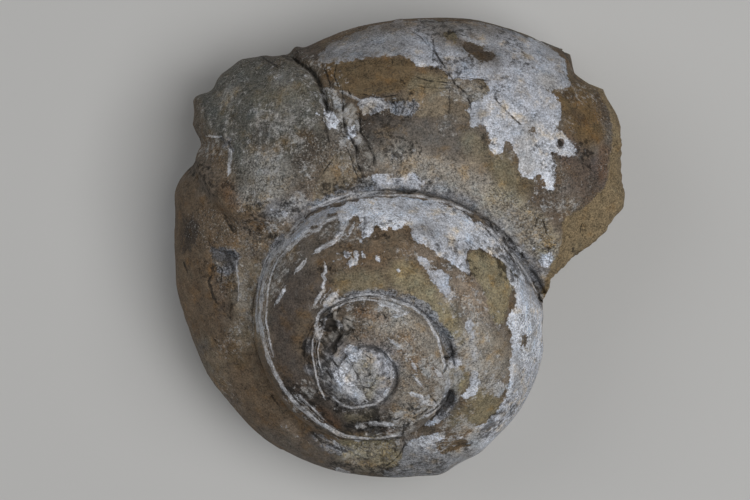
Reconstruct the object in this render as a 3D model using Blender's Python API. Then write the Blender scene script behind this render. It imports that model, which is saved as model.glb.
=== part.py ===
"""Fossil gastropod: the stone mould of a large snail, built as one solid.

Run with blender --background --python part.py, or from Blender's text editor.

The whorls wind down from the tip of the spire to a broken lip.  Places on them are given as
  turn    how many turns back from the end of the suture at the lip (0) towards the tip
  across  from the suture (0) over the upper face to the whorl's rim or the next suture (1)
  down    from the rim (0) round the underside (UNDERSIDE_SHARE) to the pole of the base (1)
The stone lies on a worn flat of its base, so its spire leans.  The origin is the centre of its
footprint, on the surface that it lies on.  Sizes are in millimetres until the last step.
"""

import math

import bmesh
import bpy
import numpy as np
from mathutils import Matrix, Vector, noise

MM = 0.001
NAME = "fossil_gastropod"
FULL_TURN = 2 * math.pi

# The spiral: radii from the shell's axis, depths below its tip.
SUTURE_RADIUS = 36.75  # of the suture at the lip
SHRINK = 0.518  # logarithm of the radius lost in the first turn back
SHRINK_GAIN = 0.1445  # how much more each further turn loses
SPIRE_SLOPE = 0.10  # depth of a suture for each millimetre of its radius
SPIRE_DOME = 0.0251  # and for each square millimetre
TIP_TURN = 3.2  # where the suture runs into the tip
TIP_FADE = 0.8  # turns over which it does so
TIP_FADE_POWER = 0.8
RIM_GROWTH = 0.731  # logarithm of the radius that the rim gains over the last whorl
RIM_SLOWING = -0.056
RIM_DROP = 1.0  # depth of the rim under the suture at the lip, for each millimetre of width
UNDERSIDE_START = 0.45  # how far the underside curls in, as a share of the whorl's width
UNDERSIDE_LIP = 0.90
UNDERSIDE_SHARE = 0.5
BASE_DEPTH = 79.0  # of the base's pole
WORN_FROM_TURN = 1.9  # from here to the tip the whorls are worn flatter
WORN_SHARE = 0.75  # at the tip: 1 would be straight from suture to suture

# How the stone lies.
LEAN = math.radians(24.7)  # of the shell's axis from upright
LEAN_TOWARDS = math.radians(-112.9)
LIP_BEARING = math.radians(4.8)  # direction from the axis to the suture's end
TIP = (-8.9, -28.4, 69.0)  # place of the spire's tip

# The broken lip: its edge stands back from turn 0 by these shares of a turn.
LIP_INNER_SETBACK = 0.070
LIP_INNER_WIDTH = 0.12  # across, over which the inner setback is reached
LIP_SLANT = 0.016
LIP_OUTER_SETBACK = 0.050
LIP_OUTER_FROM = 0.72
LIP_BLEND = 0.4  # turns of the whorl squeezed to make room for the setback
LIP_FACE_BULGE = 11.0
LIP_FACE_BULGE_AT = 0.30  # across, where it is fullest
LIP_FACE_BULGE_END = 0.78
LIP_FACE_BULGE_WAY = (0.83, -0.56)
LIP_FACE_BULGE_TOP = 0.22  # down the face, where the bulge is full
LIP_FACE_BULGE_FOOT = 0.5  # and where it starts to go back in
LIP_EDGE_LOST = (0.35, 0.95)  # down the face, where the shape of its edge starts and ends fading

# The suture groove.
GROOVE_DEPTH = 1.2
GROOVE_WIDTH = 1.5
LIP_GROOVE_DEPTH = 1.0  # added near the lip
LIP_GROOVE_WIDTH = 1.1
LIP_GROOVE_TURNS = 0.17
LIP_GROOVE_FULL = 0.05  # turns over which that is added in full
GROOVE_ROOM = 6.0  # whorls narrower than this get a shallower groove
ARC_OVER_CHORD = 1.11  # of a quarter circle

# The lump of cemented grit on the last whorl, seen from above.
LUMP_OUTLINE = (
    (-52.0, 22.0), (-49.0, 34.0), (-38.0, 44.0), (-29.0, 49.0), (-22.0, 43.5), (-18.7, 39.5),
    (-17.6, 32.0), (-18.0, 24.0), (-19.0, 19.0), (-23.0, 15.5), (-26.0, 9.5), (-35.5, 4.5),
    (-40.0, 7.0), (-44.5, 13.5),
)
LUMP_HEIGHT = 2.6
LUMP_EDGE = 3.2  # over which it rises
LUMP_OVERHANG = 1.0  # added where it wraps over the rim
LUMP_TAPER = 0.6  # how fast its outline closes in, for each millimetre down the side
LUMP_TAPER_FROM = 24.0
LUMP_SHOULDER = (-41.0, 35.0)  # where it stands out furthest
LUMP_SHOULDER_HEIGHT = 4.6
LUMP_SHOULDER_WIDTH = 9.5
LUMP_CRACK = ((-26.5, 47.0), (-22.0, 43.3), (-18.9, 40.0), (-17.3, 35.5), (-16.9, 31.5), (-17.6, 25.0))
LUMP_CRACK_DEPTH = 2.0
LUMP_CRACK_WIDTH = 1.1
NOTCH = (-47.0, 22.6)
NOTCH_DEPTH = 2.4
NOTCH_WIDTH = 2.6

# Places where the surface is broken away, seen from above.
PIT_OUTLINE = (
    (-43.2, 0.2), (-38.2, -0.3), (-36.9, -2.6), (-37.8, -6.4), (-36.8, -11.2), (-39.0, -15.4),
    (-42.2, -13.2), (-44.2, -7.8), (-42.9, -3.2),
)
PIT_DEPTH = 2.0
PIT_EDGE = 1.3
BASE_PATCH_OUTLINE = (
    (-12.9, -45.0), (-6.3, -43.2), (1.2, -44.6), (1.2, -48.4), (-3.0, -50.9), (-9.0, -51.1), (-12.6, -48.2),
)
BASE_PATCH_DEPTH = 0.9
BASE_PATCH_EDGE = 1.0
SCAR_LINES = (  # plan points of a groove, its depth and its half width
    (((-13.0, 38.0), (-12.1, 27.1), (-9.8, 24.0), (-8.9, 22.0), (-8.3, 15.5)), 1.0, 0.9),
    (((-9.8, 35.0), (-9.3, 25.0), (-5.8, 20.5)), 0.7, 0.9),
    (((13.8, -28.5), (14.2, -32.3), (12.6, -36.0)), 1.6, 1.7),
    (((-7.0, -41.6), (-3.0, -42.4), (2.5, -41.0)), 1.2, 1.2),
    (((17.0, 41.5), (21.5, 36.5), (26.5, 31.5)), 0.5, 0.8),
    (((-39.9, 7.1), (-37.6, 3.8)), 1.0, 1.0),
)

# Rough ground: centre in plan, radius, and how far it departs from the smooth surface.
ROUGH_SPOTS = (
    ((-9.5, -24.0), 7.0, 0.7),  # the worn tip
    ((4.5, -37.5), 6.0, 0.9),
    ((-11.0, 24.0), 6.5, 0.7),
    ((-32.0, 25.0), 12.0, 0.5),
    ((12.5, -33.0), 4.0, 0.7),
)
OUTLINE_SHIFTS = (  # centre in plan, how far the skin is moved there in plan, and its reach
    ((39.5, -4.0), (2.3, -2.5), 5.2),
    ((45.0, 1.0), (0.5, -0.5), 2.5),
    ((34.5, -9.0), (0.9, -0.7), 3.0),
    ((51.0, 12.0), (2.3, -0.3), 4.2),
    ((52.0, 20.5), (0.9, 0.1), 4.5),
    ((52.6, 26.5), (-0.7, -0.2), 2.4),
    ((44.5, 42.5), (-1.3, -1.2), 4.0),
    ((48.0, 37.0), (0.7, 0.6), 2.0),
    ((40.5, 44.8), (0.7, 1.4), 2.0),
    ((36.0, 49.5), (-0.2, -0.5), 3.5),
    ((-49.0, 14.0), (-2.8, 0.4), 6.2),
    ((-52.0, 3.0), (-0.5, 0.0), 6.0),
    ((-52.5, -9.0), (-0.6, 0.0), 5.5),
    ((-47.6, 35.8), (-1.4, 0.5), 2.4),
    ((-44.9, 38.9), (1.0, -1.1), 2.6),
    ((-47.8, 24.5), (1.6, 0.2), 3.8),
    ((-36.7, 44.0), (-0.4, 0.9), 2.8),
    ((-30.0, 47.5), (0.0, -0.8), 2.4),
    ((-24.7, 46.2), (0.3, 1.8), 2.2),
    ((-49.5, -20.5), (0.8, 0.2), 8.0),
    ((-40.0, -38.5), (0.4, 0.3), 9.0),
    ((-8.0, -54.5), (0.0, 0.65), 9.0),
    ((35.0, -19.5), (-0.8, 0.3), 3.5),
    ((10.5, -52.8), (0.1, -0.9), 4.0),
    ((19.5, -48.5), (0.4, -0.5), 4.0),
)
DENT = 0.45  # of the gentle dents everywhere
DENT_LENGTH = 13.0
ROUGH_LENGTH = 3.6
LIP_FACE_ROUGH = 0.6
DENT_SEED = 3.0
ROUGH_SEED = 11.0
FACES_UP = (-0.35, 0.05)  # height of the normal from which marks seen from above start and are full
OVER_RIM = (0.1, 0.75)  # and at which the skin is on the rim, and is off it

# The mesh.
COLUMNS_IN_A_TURN = 200
UPPER_ROWS = 32
LOWER_ROWS = 26
ROW_CROWDING = 1.25  # power that gathers the upper rows towards the suture
KEPT_SHARE = 0.135  # of the triangles, after thinning
WELD = 1e-4

STONE_COLOUR = (0.30, 0.235, 0.155, 1.0)
STONE_ROUGHNESS = 0.85
SHARP_EDGE = math.radians(50)


def ramp(low, high, value):
    """A smooth rise from 0 at low to 1 at high."""
    t = np.clip((value - low) / (high - low), 0.0, 1.0)
    return t * t * (3.0 - 2.0 * t)


# --- The whorls ------------------------------------------------------------------------------


def suture(turn):
    """Radius and depth of the suture."""
    radius = SUTURE_RADIUS * np.exp(-SHRINK * turn - SHRINK_GAIN * turn**2)
    radius = radius * np.clip((TIP_TURN - turn) / TIP_FADE, 0.0, 1.0) ** TIP_FADE_POWER
    return radius, SPIRE_SLOPE * radius + SPIRE_DOME * radius**2


def outer_edge(turn):
    """Radius and depth of the upper face's outer edge: the rim of the last whorl, then the next suture."""
    lip_radius, lip_depth = suture(0.0)
    old_radius, old_depth = suture(1.0)
    first_drop = (lip_depth - old_depth) / (lip_radius - old_radius)
    grown = 1.0 - np.clip(turn, 0.0, 1.0)
    radius, depth = suture(1.0 - grown)
    rim = lip_radius * np.exp(RIM_GROWTH * grown + RIM_SLOWING * grown**2)
    rim_depth = depth + (first_drop + (RIM_DROP - first_drop) * grown) * (rim - radius)
    next_radius, next_depth = suture(np.maximum(turn - 1.0, 0.0))
    last = turn <= 1.0
    return np.where(last, rim, next_radius), np.where(last, rim_depth, next_depth)


def lip_setback(across):
    """Turns by which the broken edge stands back from the end of the suture."""
    inner = LIP_INNER_SETBACK * (1.0 - np.exp(-across / LIP_INNER_WIDTH))
    return inner + LIP_SLANT * across + LIP_OUTER_SETBACK * ramp(LIP_OUTER_FROM, 1.0, across)


def behind_lip(turn, across):
    """The turn, moved back so that turn 0 lies on the broken edge."""
    setback = lip_setback(across)
    squeezed = setback + turn * (LIP_BLEND - setback) / LIP_BLEND
    return np.where(turn < LIP_BLEND, squeezed, turn)


def placed(radius, depth, turn):
    """Points of the lying stone, from radii and depths in the shell's own axes."""
    bearing = LIP_BEARING + FULL_TURN * turn
    points = np.stack([radius * np.cos(bearing), radius * np.sin(bearing), -depth], axis=-1)
    lean_axis = Vector((-math.sin(LEAN_TOWARDS), math.cos(LEAN_TOWARDS), 0.0))
    lean = np.array(Matrix.Rotation(LEAN, 3, lean_axis))
    return points @ lean.T + np.array(TIP)


def upper_face(turn, across):
    """A quarter ellipse from the suture, level there, to the outer edge, upright there."""
    turn = behind_lip(turn, across)
    radius, depth = suture(turn)
    edge_radius, edge_depth = outer_edge(turn)
    angle = across * math.pi / 2
    worn = WORN_SHARE * ramp(WORN_FROM_TURN, TIP_TURN, turn)
    outward = np.sin(angle) + worn * (across - np.sin(angle))
    downward = 1.0 - np.cos(angle) + worn * (across - 1.0 + np.cos(angle))
    points = placed(
        radius + (edge_radius - radius) * outward,
        depth + (edge_depth - depth) * downward,
        turn,
    )
    return points, turn


def lower_face(turn, down):
    """From the rim round the underside, then over the base to its pole."""
    turn = behind_lip(turn, np.ones_like(down))
    radius, _ = suture(turn)
    rim, rim_depth = outer_edge(turn)
    curl = (UNDERSIDE_LIP + (UNDERSIDE_START - UNDERSIDE_LIP) * turn) * (rim - radius)
    angle = np.clip(down / UNDERSIDE_SHARE, 0.0, 1.0) * math.pi / 2
    inward = np.clip((down - UNDERSIDE_SHARE) / (1.0 - UNDERSIDE_SHARE), 0.0, 1.0)
    depth = rim_depth + curl * np.sin(angle)
    points = placed(
        (rim - curl * (1.0 - np.cos(angle))) * (1.0 - inward),
        depth + (BASE_DEPTH - depth) * ramp(0.0, 1.0, inward),
        turn,
    )
    return points, turn


def lip_face(across, down):
    """The break across the whorl: a curtain from its broken edge, between the two ends of the lower face."""
    a = across[..., None]
    edge, _ = upper_face(np.zeros_like(across), across)
    inner, _ = upper_face(np.zeros_like(across), np.zeros_like(across))
    outer, _ = upper_face(np.zeros_like(across), np.ones_like(across))
    near_axis, _ = lower_face(np.ones_like(down), down)
    far_out, _ = lower_face(np.zeros_like(down), down)
    straight = (1 - a) * near_axis + a * far_out
    overhead = edge - ((1 - a) * inner + a * outer)
    kept = 1.0 - ramp(*LIP_EDGE_LOST, down)
    full = ramp(0.0, LIP_FACE_BULGE_AT, across) * (1 - ramp(LIP_FACE_BULGE_AT, LIP_FACE_BULGE_END, across))
    high_on_it = ramp(0.0, LIP_FACE_BULGE_TOP, down) * (1 - ramp(LIP_FACE_BULGE_FOOT, 1.0, down))
    bulge = LIP_FACE_BULGE * full * high_on_it
    points = straight + kept[..., None] * overhead + bulge[..., None] * np.array((*LIP_FACE_BULGE_WAY, 0.0))
    return points, np.zeros_like(across)


def sheet(bm, columns, rows, surface, kind):
    """A grid bent to a surface of two shares, with the turn and the place across kept on its vertices."""
    turn_layer = bm.verts.layers.float["turn"]
    across_layer = bm.verts.layers.float["across"]
    kind_layer = bm.verts.layers.int["kind"]
    verts = bmesh.ops.create_grid(bm, x_segments=columns, y_segments=rows, size=0.5)["verts"]
    first = np.array([round((v.co.x + 0.5) * columns) / columns for v in verts])
    second = np.array([round((v.co.y + 0.5) * rows) / rows for v in verts])
    for vert, point, at_turn, at_across in zip(verts, *surface(first, second)):
        vert.co = point
        vert[turn_layer] = at_turn
        vert[across_layer] = at_across
        vert[kind_layer] = kind


UPPER, LOWER, FACE = range(3)


def plain_form():
    """The whorls, the base and the lip's face, welded to one closed skin."""
    bm = bmesh.new()
    bm.verts.layers.float.new("turn")
    bm.verts.layers.float.new("across")
    bm.verts.layers.int.new("kind")
    turns = TIP_TURN + 1.0

    def upper(share, row):
        return (*upper_face(share * turns, row**ROW_CROWDING), row**ROW_CROWDING)

    def lower(share, row):
        return (*lower_face(share, row), row)

    def face(column, row):
        return (*lip_face(column**ROW_CROWDING, row), row)

    sheet(bm, round(turns * COLUMNS_IN_A_TURN), UPPER_ROWS, upper, UPPER)
    sheet(bm, COLUMNS_IN_A_TURN, LOWER_ROWS, lower, LOWER)
    sheet(bm, UPPER_ROWS, LOWER_ROWS, face, FACE)
    bmesh.ops.remove_doubles(bm, verts=bm.verts, dist=WELD)
    bmesh.ops.dissolve_degenerate(bm, dist=WELD, edges=bm.edges)
    bmesh.ops.recalc_face_normals(bm, faces=bm.faces)
    bm.normal_update()
    return bm


# --- Relief ----------------------------------------------------------------------------------


def distance_to_line(plan, line):
    """Distance in plan from each point to the nearest stretch of a line."""
    nearest = np.full(len(plan), np.inf)
    for start, end in zip(line[:-1], line[1:]):
        start, way = np.array(start), np.subtract(end, start)
        share = np.clip((plan - start) @ way / (way @ way), 0.0, 1.0)
        nearest = np.minimum(nearest, np.linalg.norm(plan - start - share[:, None] * way, axis=1))
    return nearest


def depth_inside(plan, outline):
    """Distance in plan from each point to an outline, positive inside it."""
    inside = np.zeros(len(plan), bool)
    closed = (*outline, outline[0])
    for (x0, y0), (x1, y1) in zip(closed[:-1], closed[1:]):
        crosses = (y0 > plan[:, 1]) != (y1 > plan[:, 1])
        with np.errstate(divide="ignore", invalid="ignore"):
            at_x = x0 + (plan[:, 1] - y0) * (x1 - x0) / (y1 - y0)
        inside ^= crosses & (plan[:, 0] < at_x)
    return np.where(inside, 1.0, -1.0) * distance_to_line(plan, closed)


def grain(points, length, offset):
    """Smooth noise of the given wavelength, from -1 to 1."""
    shift = Vector((offset, -offset, 0.5 * offset))
    return np.array([noise.noise(Vector(p) / length + shift) for p in points])


def bump(distance, width):
    """A bell-shaped rise, 1 at no distance."""
    return np.exp(-((distance / width) ** 2))


def suture_groove(turn, across, kind):
    """Depth of the groove along the suture, on both of the whorls that meet there."""
    radius, depth = suture(turn)
    edge_radius, edge_depth = outer_edge(turn)
    reach = ARC_OVER_CHORD * np.hypot(edge_radius - radius, edge_depth - depth)
    next_nearer = (turn > 1.0) & (across > 0.5)
    between = np.where(next_nearer, 1.0 - across, across) * reach
    near_lip = 1.0 - ramp(LIP_GROOVE_FULL, LIP_GROOVE_TURNS, turn - next_nearer)
    deep = GROOVE_DEPTH + LIP_GROOVE_DEPTH * near_lip
    wide = GROOVE_WIDTH + LIP_GROOVE_WIDTH * near_lip
    fade = np.clip(reach / GROOVE_ROOM, 0.0, 1.0)
    return np.where(kind == UPPER, deep * fade * bump(between, wide), 0.0)


def relief(points, normals, turn, across, kind):
    """How far each point stands out from the plain form."""
    plan = points[:, :2]
    upward = ramp(*FACES_UP, normals[:, 2])
    on_top = np.where(kind == FACE, 0.0, upward)
    high = DENT * grain(points, DENT_LENGTH, DENT_SEED)
    high -= suture_groove(turn, across, kind)

    taper = LUMP_TAPER * np.maximum(LUMP_TAPER_FROM - points[:, 2], 0.0)
    lump = ramp(0.0, LUMP_EDGE, depth_inside(plan, LUMP_OUTLINE) - taper)
    over_rim = 1.0 - ramp(*OVER_RIM, normals[:, 2])
    shoulder = bump(np.linalg.norm(plan - np.array(LUMP_SHOULDER), axis=1), LUMP_SHOULDER_WIDTH)
    high += lump * (LUMP_HEIGHT + over_rim * (LUMP_OVERHANG + LUMP_SHOULDER_HEIGHT * shoulder))
    high -= on_top * LUMP_CRACK_DEPTH * bump(distance_to_line(plan, LUMP_CRACK), LUMP_CRACK_WIDTH)
    high -= NOTCH_DEPTH * bump(np.linalg.norm(plan - np.array(NOTCH), axis=1), NOTCH_WIDTH)

    high -= on_top * PIT_DEPTH * ramp(0.0, PIT_EDGE, depth_inside(plan, PIT_OUTLINE))
    high -= on_top * BASE_PATCH_DEPTH * ramp(0.0, BASE_PATCH_EDGE, depth_inside(plan, BASE_PATCH_OUTLINE))
    for line, deep, wide in SCAR_LINES:
        high -= on_top * deep * bump(distance_to_line(plan, line), wide)

    rough = np.where(kind == FACE, LIP_FACE_ROUGH, 0.0)
    for centre, radius, amount in ROUGH_SPOTS:
        spot = on_top * bump(np.linalg.norm(plan - np.array(centre), axis=1), radius)
        rough = np.maximum(rough, amount * spot)
    return high + rough * grain(points, ROUGH_LENGTH, ROUGH_SEED)


def outline_shift(points):
    """How far each point is moved level, where the outline departs from the spiral's own."""
    shift = np.zeros_like(points)
    for centre, way, reach in OUTLINE_SHIFTS:
        near = bump(np.linalg.norm(points[:, :2] - np.array(centre), axis=1), reach)
        shift[:, :2] += near[:, None] * np.array(way)
    return shift


def carve(bm):
    """Moves the skin out and in by its relief, then by its outline's own shifts."""
    verts = list(bm.verts)
    points = np.array([v.co for v in verts])
    normals = np.array([v.normal for v in verts])
    values = {
        name: np.array([v[layers[name]] for v in verts])
        for name, layers in (
            ("turn", bm.verts.layers.float),
            ("across", bm.verts.layers.float),
            ("kind", bm.verts.layers.int),
        )
    }
    high = relief(points, normals, values["turn"], values["across"], values["kind"])
    carved = points + normals * high[:, None]
    for vert, point in zip(verts, carved + outline_shift(carved)):
        vert.co = point


# --- The solid -------------------------------------------------------------------------------


def thinned(bm, share):
    """The same skin with fewer triangles, closest where it bends most."""
    mesh = bpy.data.meshes.new("skin")
    bm.to_mesh(mesh)
    bm.free()
    skin = bpy.data.objects.new("skin", mesh)
    bpy.context.scene.collection.objects.link(skin)
    modifier = skin.modifiers.new("thin", "DECIMATE")
    modifier.ratio = share
    modifier.use_collapse_triangulate = True
    depsgraph = bpy.context.evaluated_depsgraph_get()
    result = bmesh.new()
    result.from_object(skin, depsgraph)
    bpy.data.objects.remove(skin)
    bpy.data.meshes.remove(mesh)
    return result


def cut_flat(bm):
    """The worn flat that the stone lies on: everything below it goes, and one level face closes it."""
    everything = [*bm.verts, *bm.edges, *bm.faces]
    bmesh.ops.bisect_plane(
        bm, geom=everything, dist=WELD, plane_co=(0, 0, 0), plane_no=(0, 0, 1), clear_inner=True
    )
    open_edges = [edge for edge in bm.edges if edge.is_boundary]
    bmesh.ops.triangle_fill(bm, use_beauty=True, use_dissolve=False, edges=open_edges, normal=(0, 0, -1))
    bmesh.ops.recalc_face_normals(bm, faces=bm.faces)


def stone_material():
    """Plain matt stone."""
    material = bpy.data.materials.new("stone")
    material.use_nodes = True
    shader = material.node_tree.nodes["Principled BSDF"]
    shader.inputs["Base Color"].default_value = STONE_COLOUR
    shader.inputs["Roughness"].default_value = STONE_ROUGHNESS
    shader.inputs["Metallic"].default_value = 0.0
    return material


def make_fossil():
    """The stone, in metres, at its place in the scene."""
    bm = plain_form()
    carve(bm)
    bmesh.ops.triangulate(bm, faces=bm.faces)
    bm = thinned(bm, KEPT_SHARE)
    cut_flat(bm)
    bmesh.ops.triangulate(bm, faces=bm.faces)
    bmesh.ops.scale(bm, vec=(MM, MM, MM), verts=bm.verts)
    mesh = bpy.data.meshes.new(NAME)
    bm.to_mesh(mesh)
    bm.free()
    mesh.materials.append(stone_material())
    mesh.shade_smooth()
    mesh.set_sharp_from_angle(angle=SHARP_EDGE)
    fossil = bpy.data.objects.new(NAME, mesh)
    bpy.context.scene.collection.objects.link(fossil)
    return fossil


for old in list(bpy.data.objects):
    bpy.data.objects.remove(old)
make_fossil()
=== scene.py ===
"""The looks of the fossil gastropod: its whorls, relief and marks, its stone, the floor, light and camera.

The whorls wind down from the tip of the spire to a broken lip, as in the solid.  Places on them are
  turn    how many turns back from the end of the suture at the lip (0) towards the tip
  across  from the suture (0) over the upper face to the whorl's rim or the next suture (1)
  down    from the rim (0) round the underside (underside_share) to the pole of the base (1)
Marks on the stone are drawn on a chart: a level sheet over the stone, as wide as 750 units and as
high as 500, seen from one viewpoint.  x runs to the right from its left edge and y down from its top.
Widths of brushes are in chart units.  All else is in millimetres until the finished mesh is scaled.
"""

import logging
import math
from dataclasses import dataclass, field
from enum import Enum
from typing import ClassVar

import bmesh
import bpy
import numpy as np
from mathutils import Matrix, Vector, noise


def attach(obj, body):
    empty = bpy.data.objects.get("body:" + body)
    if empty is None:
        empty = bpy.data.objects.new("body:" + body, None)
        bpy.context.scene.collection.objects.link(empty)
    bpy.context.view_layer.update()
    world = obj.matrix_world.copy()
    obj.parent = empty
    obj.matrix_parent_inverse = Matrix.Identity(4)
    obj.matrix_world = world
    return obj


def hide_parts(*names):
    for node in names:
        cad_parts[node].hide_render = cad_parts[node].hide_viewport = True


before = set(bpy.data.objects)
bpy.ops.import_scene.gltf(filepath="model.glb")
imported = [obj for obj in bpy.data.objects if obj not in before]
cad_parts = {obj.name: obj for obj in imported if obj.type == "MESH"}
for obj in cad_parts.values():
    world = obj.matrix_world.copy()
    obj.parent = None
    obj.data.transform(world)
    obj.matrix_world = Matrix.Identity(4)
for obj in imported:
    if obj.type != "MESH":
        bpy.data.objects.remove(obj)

LOG = logging.getLogger("fossil")

MM = 0.001
FULL_TURN = 2 * math.pi
NODE = "fossil_gastropod"
BODY = "root"

Point = tuple[float, float]
Place = tuple[float, float, float]
Outline = tuple[Point, ...]
Colour = tuple[float, float, float]
Range = tuple[float, float]  # where a rise starts, and where it is full
Slope = tuple[float, float]  # what a value is multiplied by, and what is then added
Nodes = bpy.types.NodeTree
Socket = bpy.types.NodeSocket
Mesh = bmesh.types.BMesh


# --- Measures --------------------------------------------------------------------------------


def ramp(low: float, high: float, value: np.ndarray) -> np.ndarray:
    """A smooth rise from 0 at low to 1 at high.

    Args:
        low: where it starts.
        high: where it is full.
        value: what is compared with them.

    Returns:
        The share risen at each value.
    """
    share = np.clip((value - low) / (high - low), 0.0, 1.0)
    return share * share * (3.0 - 2.0 * share)


def bump(distance: np.ndarray, width: float) -> np.ndarray:
    """A bell-shaped rise, 1 at no distance."""
    return np.exp(-((distance / width) ** 2))


@dataclass(frozen=True)
class Grain:
    """Smooth noise in space, by its wavelength in millimetres, its seed and its height."""

    length: float
    seed: float
    height: float = 1.0

    def at(self, points: np.ndarray) -> np.ndarray:
        """Its values at points, from minus its height to its height."""
        shift = Vector((self.seed, -self.seed, 0.5 * self.seed))
        return self.height * np.array([noise.noise(Vector(point) / self.length + shift) for point in points])


@dataclass(frozen=True)
class Chart:
    """The level sheet that marks are drawn on, and the viewpoint that it is seen from."""

    eye: Place = (-5.2, -0.3, 639.0)
    level: float = 39.0
    units_in_a_mm: float = 4.26
    centre: Point = (375.0, 250.0)
    width: float = 750.0

    def seen(self, points: np.ndarray) -> np.ndarray:
        """Where points are seen against the sheet.

        Args:
            points: places on the stone, in millimetres.

        Returns:
            Their places on the sheet, in chart units.
        """
        nearer = (self.eye[2] - self.level) / (self.eye[2] - points[:, 2])
        right = (points[:, 0] - self.eye[0]) * nearer * self.units_in_a_mm
        up = (points[:, 1] - self.eye[1]) * nearer * self.units_in_a_mm
        return np.stack([self.centre[0] + right, self.centre[1] - up], axis=-1)

    def beside(self, places: np.ndarray, line: Outline) -> np.ndarray:
        """Distance in millimetres from places on the sheet to a line, positive on one side of it.

        Args:
            places: places on the sheet.
            line: two or more points of it.

        Returns:
            The distance to its nearest stretch, negative on the line's other side.
        """
        nearest = np.full(len(places), np.inf)
        signed = nearest.copy()
        for start, end in zip(line[:-1], line[1:]):
            way = np.subtract(end, start)
            off = places - np.array(start)
            share = np.clip(off @ way / (way @ way), 0.0, 1.0)
            away = np.linalg.norm(off - share[:, None] * way, axis=1)
            side = np.where(way[0] * off[:, 1] - way[1] * off[:, 0] < 0.0, -1.0, 1.0)
            signed = np.where(away < nearest, side * away, signed)
            nearest = np.minimum(nearest, away)
        return signed / self.units_in_a_mm

    def to_line(self, places: np.ndarray, line: Outline) -> np.ndarray:
        """Distance in millimetres from places on the sheet to a line.

        Args:
            places: places on the sheet.
            line: its points, or a single point.

        Returns:
            The distance, never negative.
        """
        if len(line) == 1:
            return np.linalg.norm(places - np.array(line[0]), axis=1) / self.units_in_a_mm
        return np.abs(self.beside(places, line))

    def inside(self, places: np.ndarray, outline: Outline) -> np.ndarray:
        """Distance in millimetres from places on the sheet into an outline.

        Args:
            places: places on the sheet.
            outline: its corners; the last joins the first.

        Returns:
            The distance to its edge, positive inside it.
        """
        within = np.zeros(len(places), bool)
        closed = (*outline, outline[0])
        for (x0, y0), (x1, y1) in zip(closed[:-1], closed[1:]):
            crosses = (y0 > places[:, 1]) != (y1 > places[:, 1])
            with np.errstate(divide="ignore", invalid="ignore"):
                at_x = x0 + (places[:, 1] - y0) * (x1 - x0) / (y1 - y0)
            within ^= crosses & (places[:, 0] < at_x)
        return np.where(within, 1.0, -1.0) * self.to_line(places, closed)

    def inside_any(self, places: np.ndarray, outlines: tuple[Outline, ...]) -> np.ndarray:
        """Distance to the nearest edge of several outlines taken as one."""
        return np.max([self.inside(places, outline) for outline in outlines], axis=0)


CHART = Chart()


class Pigment(Enum):
    """The colours of the stone, in linear light."""

    TAN_BROWN = (0.156, 0.112, 0.072)
    WARM_TAN = (0.200, 0.143, 0.090)
    DARK_BROWN = (0.070, 0.050, 0.036)
    UMBER = (0.098, 0.078, 0.064)
    RUST = (0.165, 0.090, 0.048)
    OCHRE = (0.165, 0.115, 0.060)
    ORANGE = (0.170, 0.110, 0.050)
    GREY_BROWN = (0.165, 0.146, 0.126)
    PURPLE_GREY = (0.115, 0.090, 0.085)
    BLUE_GREY = (0.300, 0.312, 0.345)
    SLATE = (0.120, 0.120, 0.125)
    TAN = (0.255, 0.206, 0.144)
    PALE_TAN = (0.400, 0.365, 0.315)
    GRIT = (0.120, 0.120, 0.104)
    PALE_GRIT = (0.310, 0.298, 0.272)
    SEDIMENT = (0.250, 0.188, 0.108)
    OLIVE = (0.330, 0.280, 0.170)
    DARK_OLIVE = (0.240, 0.205, 0.130)
    PINK_BROWN = (0.300, 0.240, 0.185)
    CHALK = (0.820, 0.855, 0.935)
    SHELL_GREY = (0.465, 0.480, 0.530)
    DULL_SHELL = (0.260, 0.262, 0.272)
    MANGANESE = (0.046, 0.038, 0.032)


@dataclass(frozen=True)
class Stroke:
    """A soft brush stroke of colour on the chart: a line of points and the brush's half width."""

    pigment: Pigment
    points: Outline
    reach: float
    strength: float = 0.85
    soft: float = 0.6

    def cover(self, places: np.ndarray, wobble: np.ndarray) -> np.ndarray:
        """How much of the colour lies at each place.

        Args:
            places: places on the chart.
            wobble: how far its edge is shifted there, in millimetres; less at a fine brush.

        Returns:
            Shares from 0 to strength.
        """
        reach = self.reach / CHART.units_in_a_mm
        away = CHART.to_line(places, self.points) + wobble * min(1.0, 0.5 * reach)
        return self.strength * (1.0 - ramp(reach * (1.0 - self.soft), reach * (1.0 + self.soft), away))


@dataclass(frozen=True)
class Touch:
    """A soft brush stroke of some amount on the chart, full out to a share of the brush's half width."""

    points: Outline
    reach: float
    amount: float
    full_to: ClassVar[float] = 0.55
    gone_at: ClassVar[float] = 1.2

    def cover(self, places: np.ndarray, wobble: np.ndarray) -> np.ndarray:
        """The amount at each place.

        Args:
            places: places on the chart.
            wobble: how far its edge is shifted there, in millimetres.

        Returns:
            Values from 0 to the amount.
        """
        reach = self.reach / CHART.units_in_a_mm
        away = CHART.to_line(places, self.points) + wobble
        return self.amount * (1.0 - ramp(self.full_to * reach, self.gone_at * reach, away))


def path(text: str) -> Outline:
    """The points of a line or an outline, written as x,y with spaces between them."""
    return tuple(tuple(int(part) for part in pair.split(",")) for pair in text.split())


def paths(*texts: str) -> tuple[Outline, ...]:
    """Several lines or outlines."""
    return tuple(path(text) for text in texts)


def strokes(*rows: tuple[Pigment, float, float, str], soft: float = Stroke.soft) -> tuple[Stroke, ...]:
    """Strokes from rows of a pigment, a half width, a strength and a path."""
    return tuple(Stroke(pigment, path(text), reach, strength, soft) for pigment, reach, strength, text in rows)


def touches(*rows: tuple[float, float, str]) -> tuple[Touch, ...]:
    """Touches from rows of a half width, an amount and a path."""
    return tuple(Touch(path(text), reach, amount) for reach, amount, text in rows)


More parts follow.
